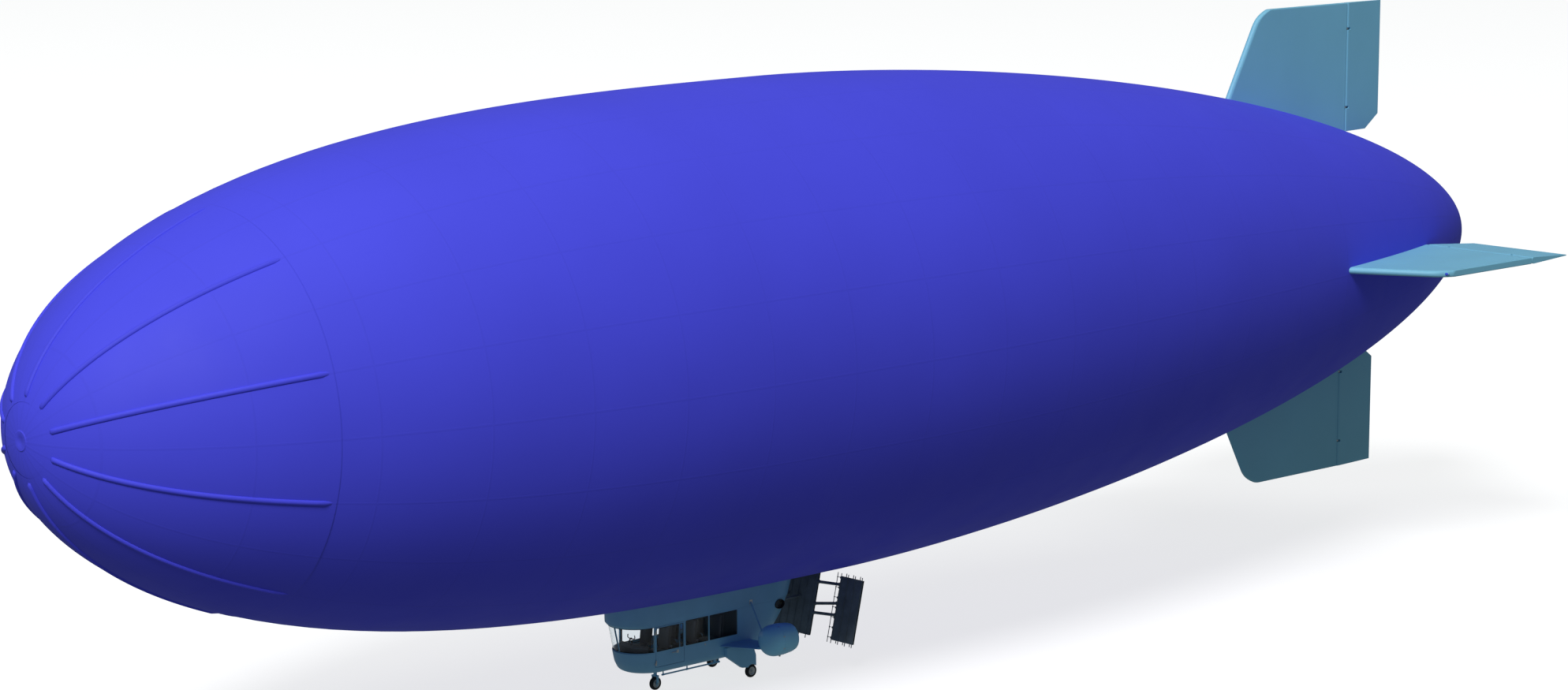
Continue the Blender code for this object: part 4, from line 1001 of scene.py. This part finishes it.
def dials():
    """Blank round dials, with ticks and a needle, in rows on the board."""
    rings, faces, marks = [], [], []
    for z, places, r in DIAL_ROWS:
        rim = [(0.0, r), (0.006, r), (0.008, r - 0.002), (0.008, r - 0.004), (0.003, r - 0.005)]
        face = [(0.0, 0.0), (0.004, 0.0), (0.004, r - 0.0045), (0.0, r - 0.0045)]
        tick = block((-0.0002, -0.0006, r * 0.58), (0.0002, 0.0006, r * 0.76))
        needle = block((-0.0003, -0.0009, -0.004), (0.0003, 0.0009, r * 0.55))
        for y in places:
            spot = put((DASH_X, y, z), pi, "Z")
            rings.append(lathe(rim, 32, spot))
            faces.append(lathe(face, 32, spot))
            marks += [moved(tick, put((DASH_X - 0.0043, y, z), pi / 4 + 1.5 * pi * k / 9)) for k in range(10)]
            marks.append(moved(needle, put((DASH_X - 0.0046, y, z), 40 * y + 9 * z)))
    piece("dial_rings", joined(rings), "trim")
    piece("dial_faces", joined(faces), "dial")
    piece("dial_marks", joined(marks), "mark")


def dashboard():
    """A padded top over a board of dials, with a compass and a throttle box."""
    softened("dashboard", "lining", width=0.008, segments=3)
    lip = [(DASH_X - 0.012, y, DASH_TOP - 0.008 + 0.004 * sin(6 * y))
           for y in (-0.33 + 0.66 * i / 24 for i in range(25))]
    piece("dash_lip", tube(lip, 0.014, resolution=5), "trim")
    dials()
    pedestal = slab((3.05, -0.055, FLOOR_TOP + 0.0005), (DASH_X - 0.001, 0.055, -4.640), 0.008, 3)
    piece("pedestal", pedestal, "lining")
    levers = []
    for y in (-0.030, -0.010, 0.010, 0.030):
        knob = (3.10 - 0.2 * abs(y), y, -4.590)
        levers += [bar((3.12, y, -4.642), knob, 0.0025, 12), ball(knob, (0.008, 0.006, 0.008), 10)]
    piece("power_levers", joined(levers), "trim")
    stalk = [(3.30, 0.0, DASH_TOP - 0.004), (3.30, 0.0, DASH_TOP + 0.030), (3.285, 0.0, DASH_TOP + 0.052)]
    bowl = ball((3.282, 0.0, DASH_TOP + 0.060), (0.017, 0.019, 0.017), 14)
    piece("compass", joined([tube(rounded_path(stalk, 0.01), 0.004), bowl]), "trim")


def control_columns():
    """Each column with a boot at its foot, a two-handed grip and pedals."""
    boot = [(0.0, 0.0), (0.0, 0.036), (0.010, 0.034), (0.014, 0.026), (0.022, 0.027), (0.026, 0.020),
            (0.034, 0.021), (0.038, 0.012), (0.038, 0.0)]
    half_grip = [(3.108, 0.075, 0.052), (3.108, 0.085, 0.004), (3.112, 0.045, -0.006)]
    for side, sign in SIDES:
        softened(f"control_column_{side}", "trim", width=0.0005)
        y = sign * SEAT_Y
        grip = [(x, y - out, GRIP_TOP + up) for x, out, up in half_grip]
        grip += [(x, y + out, GRIP_TOP + up) for x, out, up in reversed(half_grip)]
        hub = pin((3.125, y, GRIP_TOP - 0.004), (3.100, y, GRIP_TOP - 0.006), 0.014, 24, 0.003)
        foot = lathe(boot, 32, put((3.19, y, FLOOR_TOP + 0.0004), -pi / 2, "Y"))
        piece(f"yoke_{side}", joined([tube(rounded_path(grip, 0.022), 0.0075), hub, foot]), "trim")
        pedals = [slab((3.195, p - 0.022, FLOOR_TOP + 0.03), (3.210, p + 0.022, FLOOR_TOP + 0.09), 0.003)
                  for p in (y - 0.05, y + 0.05)]
        piece(f"pedals_{side}", joined(pedals), "alloy")


def cushion_form(size):
    """A crowned block, close enough to the cushion for the cloth to fill it."""
    bm = bmesh.new()
    bmesh.ops.create_cube(bm, size=1.0, matrix=Matrix.Diagonal((*size, 1)))
    bmesh.ops.subdivide_edges(bm, edges=bm.edges, cuts=7, use_grid_fill=True)
    half = Vector(size) / 2
    thin = min(range(3), key=lambda k: size[k])
    wide = [k for k in range(3) if k != thin]
    for v in bm.verts:
        share = [abs(v.co[k]) / half[k] for k in wide]
        v.co[thin] *= 1 - 0.20 * max(share) ** 6 - 0.06 * share[0] ** 2 - 0.06 * share[1] ** 2
        for k in wide:
            v.co[k] *= 1 - 0.05 * (v.co[thin] / half[thin]) ** 2
    mesh = bevelled(mesh_from(bm), 0.006, 2, 50)
    return worked(mesh, ("REMESH", {"mode": "VOXEL", "voxel_size": CLOTH_VOXEL}))


def blown_up(mesh):
    """Fills the cushion like a bag of cloth, with no point moving further than it may."""
    start = [v.co.copy() for v in mesh.vertices]
    thing = shown("cloth", mesh.copy())
    cloth = thing.modifiers.new("cloth", "CLOTH")
    cloth.settings.use_pressure = True
    cloth.settings.uniform_pressure_force = CLOTH_PRESSURE
    cloth.settings.effector_weights.gravity = 0.0
    cloth.point_cache.frame_start = 1
    cloth.point_cache.frame_end = CLOTH_FRAMES
    for step in range(1, CLOTH_FRAMES + 1):
        bpy.context.scene.frame_set(step)
    result = taken(thing)
    bpy.context.scene.frame_set(1)
    for vertex, place in zip(result.vertices, start):
        move = vertex.co - place
        if move.length > CUSHION_GIVE:
            vertex.co = place + move.normalized() * CUSHION_GIVE
    return result


def seams_on(mesh, size, thin):
    """Piping round both edges of a cushion's broad faces, laid on the cloth."""
    tree = BVHTree.FromPolygons([v.co for v in mesh.vertices], [p.vertices for p in mesh.polygons])
    wide = [k for k in range(3) if k != thin]
    seams = []
    for lift in (PIPING_LIFT, -PIPING_LIFT):
        path = []
        for a in (2 * pi * i / 72 for i in range(72)):
            spot = Vector((0, 0, 0))
            for k, swing in zip(wide, (cos(a), sin(a))):
                spot[k] = size[k] / 2 * (1 if swing > 0 else -1) * abs(swing) ** 0.35
            spot[thin] = lift * size[thin] / 2
            path.append(tree.find_nearest(spot)[0])
        seams.append(tube(path, 0.0022, closed=True, resolution=2))
    return seams


def strap(path, half, thick):
    """A flat band along a path, its width lying along x."""
    wide = Vector((half, 0, 0))
    rings = []
    for i, spot in enumerate(path):
        along = path[min(i + 1, len(path) - 1)] - path[max(i - 1, 0)]
        out = along.cross(wide).normalized() * thick
        rings.append([spot - wide - out, spot + wide - out, spot + wide + out, spot - wide + out])
    return loft(rings)


def seats():
    """Six alike: a filled cushion and back with piping, on a shell and a pedestal."""
    base, back = (blown_up(cushion_form([s - 0.010 for s in size])) for size in (BASE_SIZE, BACK_SIZE))
    base_at, back_at = put((0.172, 0, 0.176), BASE_TILT, "Y"), put((0.030, 0, 0.376), BACK_LEAN, "Y")
    piping = [moved(seam, base_at) for seam in seams_on(base, BASE_SIZE, 2)]
    piping += [moved(seam, back_at) for seam in seams_on(back, BACK_SIZE, 0)]
    shell = moved(slab((-0.010, -0.112, -0.190), (0.006, 0.112, 0.186), 0.005, 3),
                  put((-0.007, 0, 0.374), BACK_LEAN, "Y"))
    pan = slab((0.02, -0.112, 0.128), (0.30, 0.112, 0.142), 0.004, 3)
    legs = []
    for y in (-SEAT_LEG_Y, SEAT_LEG_Y):
        legs += [bar((x, y, 0.006), (x, y, 0.129), 0.008) for x in SEAT_LEG_X]
        legs.append(slab((0.06, y - 0.012, 0.0004), (0.28, y + 0.012, 0.008)))
        legs.append(bar((SEAT_LEG_X[0], y, 0.115), (SEAT_LEG_X[1], y, 0.015), 0.005))
    belt = [(0.055, -0.113, 0.145), (0.075, -0.08, 0.216), (0.110, 0, 0.224), (0.075, 0.08, 0.216),
            (0.055, 0.113, 0.145)]
    fittings = (("piping", joined(piping), "trim"), ("shell", joined([shell, pan]), "trim"),
                ("frame", joined(legs), "alloy"),
                ("belt", strap(rounded_path(belt, 0.05), 0.014, 0.0012), "cloth"))
    for row, x in SEAT_ROWS:
        for side, sign in SIDES:
            name = f"{row}_seat_{side}"
            foot = Matrix.Translation((x, sign * SEAT_Y, FLOOR_TOP))
            cushion = piece(f"{name}_cushion", moved(base, foot @ base_at), "cloth", replaces=(name,), sharp=60)
            rest = piece(f"{name}_back", moved(back, foot @ back_at), "cloth", sharp=60)
            for part, mesh, look in fittings:
                piece(f"{name}_{part}", moved(mesh, foot), look)


def pod_profile():
    """x from the pod's middle and radius, from the round nose back to the open end."""
    turn = (pi / 2 * i / POD_NOSE_STEPS for i in range(POD_NOSE_STEPS + 1))
    nose = [(POD_NOSE + (POD_HALF - POD_NOSE) * max(cos(a), 0) ** 0.9, POD_R * sin(a) ** 0.75) for a in turn]
    return nose + smoothed(POD_LEVELS, 5)[1:]


def pods():
    """Cowled engines with open ducts behind, and what is fastened to them."""
    outer = pod_profile()
    nose = outer[:POD_NOSE_STEPS + 1]
    groove = [(POD_SEAM_X, POD_R), (POD_SEAM_X - 0.0015, POD_R - POD_SEAM_DEPTH),
              (POD_SEAM_X - 0.0045, POD_R - POD_SEAM_DEPTH), (POD_SEAM_X - 0.006, POD_R)]
    lip = [(-POD_HALF, POD_TAIL_R - 0.003), (-POD_HALF + 0.001, POD_TAIL_R - 0.008)]
    inside = [(x, r - POD_WALL) for x, r in reversed(outer) if -POD_HALF + 0.01 < x < FIREWALL_X - 0.01]
    wall = [(FIREWALL_X - 0.006, POD_R - POD_WALL), (FIREWALL_X - 0.006, 0.060), (FIREWALL_X - 0.009, 0.050),
            (FIREWALL_X - 0.009, 0.0)]
    at = put(POD_AT)
    skin = lathe(nose + groove + outer[len(nose):] + lip + inside + wall, 96, at)
    both("pod_skin", skin, "pod", replaces="pod", sharp=40)
    pipe = [(0.0, 0.0), (0.0, 0.012), (0.032, 0.014), (0.040, 0.014), (0.040, 0.011), (0.012, 0.010),
            (0.012, 0.0)]
    pipe_at = put(POD_AT + Vector((-0.052, 0, 0.010 - POD_R)), pi / 2 + 0.2, "Y")
    both("exhaust", lathe(pipe, 32, pipe_at), "steel")
    latch = slab((0.034, -0.007, POD_R - 0.001), (0.068, 0.007, POD_R + 0.003), 0.0012)
    both("pod_latches", joined(around(latch, 8, at, 0.5)), "alloy")
    vane = slab((-0.085, -0.003, 0.040), (-0.030, 0.003, POD_R - 0.010), 0.0015)
    both("pod_vanes", joined(around(vane, 5, at, 0.5)), "pod")
    for side, _ in SIDES:
        softened(f"engine_{side}", "steel", width=0.004)


def blade():
    rings = []
    for reach, chord, pitch in BLADE_SECTIONS:
        tilt = radians(pitch)
        across, out = Vector((sin(tilt), cos(tilt), 0)) * chord / 2, Vector((cos(tilt), -sin(tilt), 0))
        ring = []
        for a in (2 * pi * i / 20 for i in range(20)):
            thick = 0.0042 * sin(a) * (1 + 0.35 * cos(a)) + 0.0016 * sin(a / 2) ** 2
            ring.append(Vector((0, 0, reach)) + across * cos(a) + out * thick)
        rings.append(ring)
    return loft(rings)


def fans():
    bodies = ("fan_port", "fan_starboard")
    place = put(POD_AT + Vector((FAN_X, 0, 0)))
    both("fan_blades", joined(around(blade(), FAN_BLADES, place)), "trim", bodies, replaces="fan", sharp=50)
    hub = [(0.038, 0.018), (0.038, 0.040), (0.033, 0.045), (-0.026, 0.045)]
    hub += [(-0.026 - 0.042 * sin(a), 0.045 * cos(a)) for a in (pi / 2 * i / 8 for i in range(1, 9))]
    both("spinner", lathe(hub, 48, place), "alloy", bodies)


def wings():
    rings = []
    for y, front, chord in WING_SECTIONS:
        ring = []
        for a in (2 * pi * i / 48 for i in range(48)):
            thin = 1 + 0.55 * min(cos(a), 0)
            ring.append((front - chord * (1 - cos(a)) / 2, y, WING_Z + WING_THICK / 2 * sin(a) * thin))
        rings.append(ring)
    form = lathe(pod_profile() + [(-POD_HALF + 0.004, 0.0)], 64, put(POD_AT))
    both("wing_skin", carved(loft(rings), [form]), "cabin", replaces="wing", sharp=50)
    inner, outer = STRUT_ENDS
    run = (outer - inner).normalized()
    parts = ((inner, outer, 0.010), (inner, inner + run * 0.045, 0.014), (outer - run * 0.05, outer, 0.014))
    both("strut_tube", joined([pin(*part, 24, 0.001) for part in parts]), "cabin", replaces="strut")
    both("strut_pad", slab((1.205, HALF_WIDTH - 0.001, -4.115), (1.265, HALF_WIDTH + 0.005, -4.045)), "alloy")


def wheel(body, rim_node, tyre_node):
    """A grooved tyre on a dished rim with round openings."""
    at = put(WHEEL_AT[body], pi / 2, "Z")
    inner = RIM_R + 0.0006
    seat, dish = RIM_SEAT, RIM_SEAT - 0.012
    outer = []
    for a in (radians(90 - 180 * i / 48) for i in range(49)):
        x = TYRE_HALF * sin(a)
        groove = 0.0030 if min(abs(x - g) for g in TYRE_GROOVES) < 0.0022 else 0.0
        outer.append((x, TYRE_R - (TYRE_R - inner) * (1 - cos(a)) * 0.55 - groove))
    bead = [(seat, inner), (seat + 0.003, inner + 0.005)]
    profile = bead + outer + [(-x, r) for x, r in reversed(bead)]
    piece(f"{body}_tyre", lathe(profile, 96, at, closed=True), "rubber", body, (tyre_node,), 30)
    half = [(seat, RIM_R), (seat, RIM_R - 0.004), (seat - 0.003, RIM_R - 0.009), (dish + 0.002, RIM_R - 0.013),
            (dish, RIM_R - 0.017), (dish - 0.003, 0.032), (dish, 0.026), (seat - 0.002, 0.024), (seat, 0.022),
            (seat, 0.0135)]
    rim = lathe(half + [(-x, r) for x, r in reversed(half)], 64, at, closed=True)
    through = Vector((0.1, 0, 0))
    holes = [bar(spot - through, spot + through, 0.0052) for spot in circle(8, 0, RIM_HOLES_R)]
    piece(f"{body}_rim", carved(rim, [moved(joined(holes), at)]), "alloy", body, (rim_node,), 35)
    ring = [(seat - 0.001, RIM_R - 0.001), (seat + 0.0022, RIM_R + 0.001), (seat + 0.0030, RIM_R + 0.0045),
            (seat + 0.0015, RIM_R + 0.0050), (seat - 0.001, RIM_R + 0.001)]
    parts = []
    for sign in (1, -1):
        parts.append(lathe([(sign * x, r) for x, r in ring], 64, at, closed=True))
        length = Vector((sign * 0.006, 0, 0))
        feet = circle(6, sign * (seat - 0.004), RIM_BOLTS_R, 0.5)
        bolts = [bar(foot, foot + length, 0.0026, 6) for foot in feet]
        parts.append(moved(joined(bolts), at))
    piece(f"{body}_flanges", joined(parts), "steel", body)


def gear():
    """Wheels, the legs and fork that carry them, and the rail under the belly."""
    for side, _ in SIDES:
        wheel(f"main_wheel_{side}", f"main_rim_{side}", f"main_tyre_{side}")
        softened(f"leg_{side}", "cabin", width=0.004, segments=3)
    wheel("nose_wheel", "nose_rim", "nose_tyre")
    softened("nose_post", "cabin", width=0.002)
    softened("nose_fork", "cabin", "nose_fork", segments=3)
    x, z = NOSE_WHEEL_X, AXLE_Z
    nuts = [bar((x, sign * NOSE_FORK_HALF, z), (x, sign * (NOSE_FORK_HALF + length), z), radius, sides)
            for sign in (1, -1) for length, radius, sides in ((0.005, 0.013, 32), (0.010, 0.009, 6))]
    piece("nose_axle_nuts", joined(nuts), "steel", "nose_fork")
    end = MAIN_Y + TYRE_HALF - 0.004
    nut = [bar((MAIN_X, end - 0.002, z), (MAIN_X, end + 0.003, z), 0.0115, 32),
           bar((MAIN_X, end, z), (MAIN_X, end + 0.008, z), 0.008, 6)]
    both("main_axle_nut", joined(nut), "steel")
    both("brake_line", tube(rounded_path(BRAKE_LINE, 0.02), 0.0028), "trim")
    piece("nose_post_plate", slab((x - 0.040, -0.040, -4.895), (x + 0.040, 0.040, -4.8805), 0.003), "cabin")
    back, front = RAIL_X
    ends = [(0.0, 0.0), (0.0, 0.009), (0.003, 0.012)]
    profile = ends + [(front - back - x, r) for x, r in reversed(ends)]
    rail = [lathe(profile, 24, put((back, 0, RAIL_Z)))]
    for x in RAIL_POSTS:
        rail += [bar((x, 0, RAIL_TOP), (x, 0, RAIL_Z), 0.0095, 24),
                 pin((x, 0, RAIL_TOP), (x, 0, -4.890), 0.026, 24),
                 pin((x - 0.018, 0, RAIL_Z), (x + 0.018, 0, RAIL_Z), 0.015, 24)]
    piece("belly_rail_tubes", joined(rail), "cabin", replaces=("belly_rail",))
    lamps = [ball(spot, (0.006, 0.006, 0.007), 10) for spot in BELLY_LAMPS]
    piece("belly_lamps", joined(lamps), "green")


def board_x(height):
    return BOARD_FOOT[0] - (height - BOARD_FOOT[1]) * BOARD_LEAN


def board(y_low, y_high, low, high):
    """A flat board with a thin raised edge on both faces."""
    shapes = []
    for y0, y1, z0, z1, half in (
            (y_low, y_high, low, high, BOARD_HALF - 0.003),
            (y_low, y_low + BOARD_EDGE, low, high, BOARD_HALF),
            (y_high - BOARD_EDGE, y_high, low, high, BOARD_HALF),
            (y_low, y_high, low, low + BOARD_EDGE, BOARD_HALF),
            (y_low, y_high, high - BOARD_EDGE, high, BOARD_HALF)):
        rings = []
        for z in (z0, z1):
            x = board_x(z)
            rings.append([(x - half, y0, z), (x + half, y0, z), (x + half, y1, z), (x - half, y1, z)])
        shapes.append(bevelled(loft(rings), 0.0015, 1))
    return shapes


def upright(y, face, low, high, radius=ROD_R):
    """A rod in front of, behind or in the boards' plane, with rounded ends."""
    shift = face * (BOARD_HALF + 0.001)
    foot, head = ((board_x(z) + shift, y, z) for z in (low, high))
    return [bar(foot, head, radius), ball(foot, (radius,) * 3, 8), ball(head, (radius,) * 3, 8)]


def boards():
    """The wide centre board, and a side board on three tubes each side."""
    low = BOARD_FOOT[1]
    shapes = board(-CENTRE_BOARD_HALF, CENTRE_BOARD_HALF, low, CENTRE_BOARD_TOP)
    for i in range(CENTRE_RODS):
        y = (i - (CENTRE_RODS - 1) / 2) * ROD_SPACING
        shapes += upright(y, 1, low - ROD_REACH, CENTRE_ROD_TOP)
    x, z = board_x(BRACKET_Z), BRACKET_Z
    for y in (BRACKET_Y, -BRACKET_Y):
        shapes += [bar((x, y, z), (BRACKET_END_X, y, z), 0.020, 32),
                   pin((x + 0.014, y, z), (x + 0.024, y, z), 0.034)]
    piece("centre_board", joined(shapes), "board", replaces=("array_centre",))
    low, high = SIDE_BOARD_Z
    inner, outer = SIDE_BOARD_Y
    shapes = board(inner, outer, low, high)
    for face, first, count in SIDE_RODS:
        for y in (outer - first - i * (ROD_SPACING - 0.004) for i in range(count)):
            shapes += upright(y, face, low - ROD_REACH, high + ROD_REACH)
    shapes += upright(EDGE_ROD_Y, 0, low - ROD_REACH, high + ROD_REACH, 0.0058)
    for i in range(RUNGS):
        z = low + 0.030 + i * (high - low - 0.050) / (RUNGS - 1)
        x = board_x(z)
        shapes += [bar((x, EDGE_ROD_Y, z), (x, inner + 0.02, z), 0.0045, 12),
                   slab((x - 0.018, inner - 0.014, z - 0.016), (x + 0.018, inner + 0.010, z + 0.016), 0.003),
                   pin((x, EDGE_ROD_Y, z - 0.009), (x, EDGE_ROD_Y, z + 0.009), 0.009, 16, 0.0015)]
    for near, far in CROSS_TUBES:
        start = Vector((board_x(near), CENTRE_BOARD_HALF - 0.004, near))
        stop = Vector((board_x(far), inner + 0.02, far))
        run = (stop - start).normalized()
        shapes.append(bar(start, stop, CROSS_TUBE_R, 32))
        shapes += [pin(spot, spot + run * 0.016, 0.030) for spot in (start, stop - run * 0.036)]
    both("side_board", joined(shapes), "board", replaces="array")


def surround():
    """Dim light from all round, with a pale field where the camera looks past the floor."""
    world = bpy.data.worlds.new("surround")
    world.use_nodes = True
    nodes = Nodes(world.node_tree)
    rays = nodes.add("ShaderNodeLightPath").outputs
    straight = nodes.math("GREATER_THAN", 0.5, rays["Diffuse Depth"])
    through_glass = nodes.math("MULTIPLY", rays["Is Transmission Ray"], straight)
    looked_at = nodes.math("MAXIMUM", rays["Is Camera Ray"], through_glass)
    dim = nodes.tree.nodes["Background"]
    dim.inputs["Color"].default_value = (*AMBIENT, 1.0)
    pale = nodes.add("ShaderNodeBackground", {"Color": (*SURROUND, 1.0)})
    mix = nodes.add("ShaderNodeMixShader", {0: looked_at, 1: dim.outputs[0], 2: pale.outputs[0]})
    nodes.tree.links.new(mix.outputs[0], nodes.tree.nodes["World Output"].inputs["Surface"])
    bpy.context.scene.world = world


def studio():
    """Plain pale floor, an even surround and two wide, distant lamps."""
    bm = bmesh.new()
    under = Matrix.Translation((0, 0, CAD_BOUNDS[0][2] - 0.001))
    bmesh.ops.create_grid(bm, x_segments=1, y_segments=1, size=FLOOR_HALF, matrix=under)
    mesh = mesh_from(bm)
    white = (FLOOR_WHITE,) * 3
    mesh.materials.append(paint("studio_floor", white, 0.9, (0.05, 0.005), specular_ior_level=0.0,
                                emission_strength=FLOOR_GLOW, emission_color=(1, 1, 1, 1))[0])
    floor = shown("studio_floor", mesh)
    floor.visible_diffuse = False
    floor.visible_glossy = False
    for name, (towards, distance, size, share) in LAMPS.items():
        light = bpy.data.lights.new(name, "AREA")
        light.shape = "DISK"
        light.size = size
        light.energy = share * pi * pi * distance ** 2
        lamp = shown(name, light)
        lamp.location = Vector(towards).normalized() * distance
        lamp.rotation_euler = Vector(towards).to_track_quat("Z", "Y").to_euler()
    surround()
    bpy.context.scene.view_settings.view_transform = "Standard"


def camera():
    """The photograph's place, angle and framing."""
    a, e, roll = CAMERA_AZIMUTH, CAMERA_DOWN, CAMERA_ROLL
    ahead = Vector((-cos(e) * cos(a), -cos(e) * sin(a), -sin(e)))
    right = Vector((-sin(a), cos(a), 0))
    up = right.cross(ahead)
    right, up = right * cos(roll) + up * sin(roll), up * cos(roll) - right * sin(roll)
    data = bpy.data.cameras.new("view")
    data.sensor_width = 36.0
    data.lens = LENS
    data.shift_x, data.shift_y = SHIFT
    data.clip_end = 2000.0
    eye = shown("view", data)
    eye.matrix_world = Matrix.Translation(CAMERA_AT) @ Matrix((right, up, -ahead)).transposed().to_4x4()
    bpy.context.scene.camera = eye


camera()
studio()
envelope_skin()
nose_dome()
nose_stiffeners()
tail()
cabin()
dashboard()
control_columns()
seats()
pods()
fans()
wings()
gear()
boards()
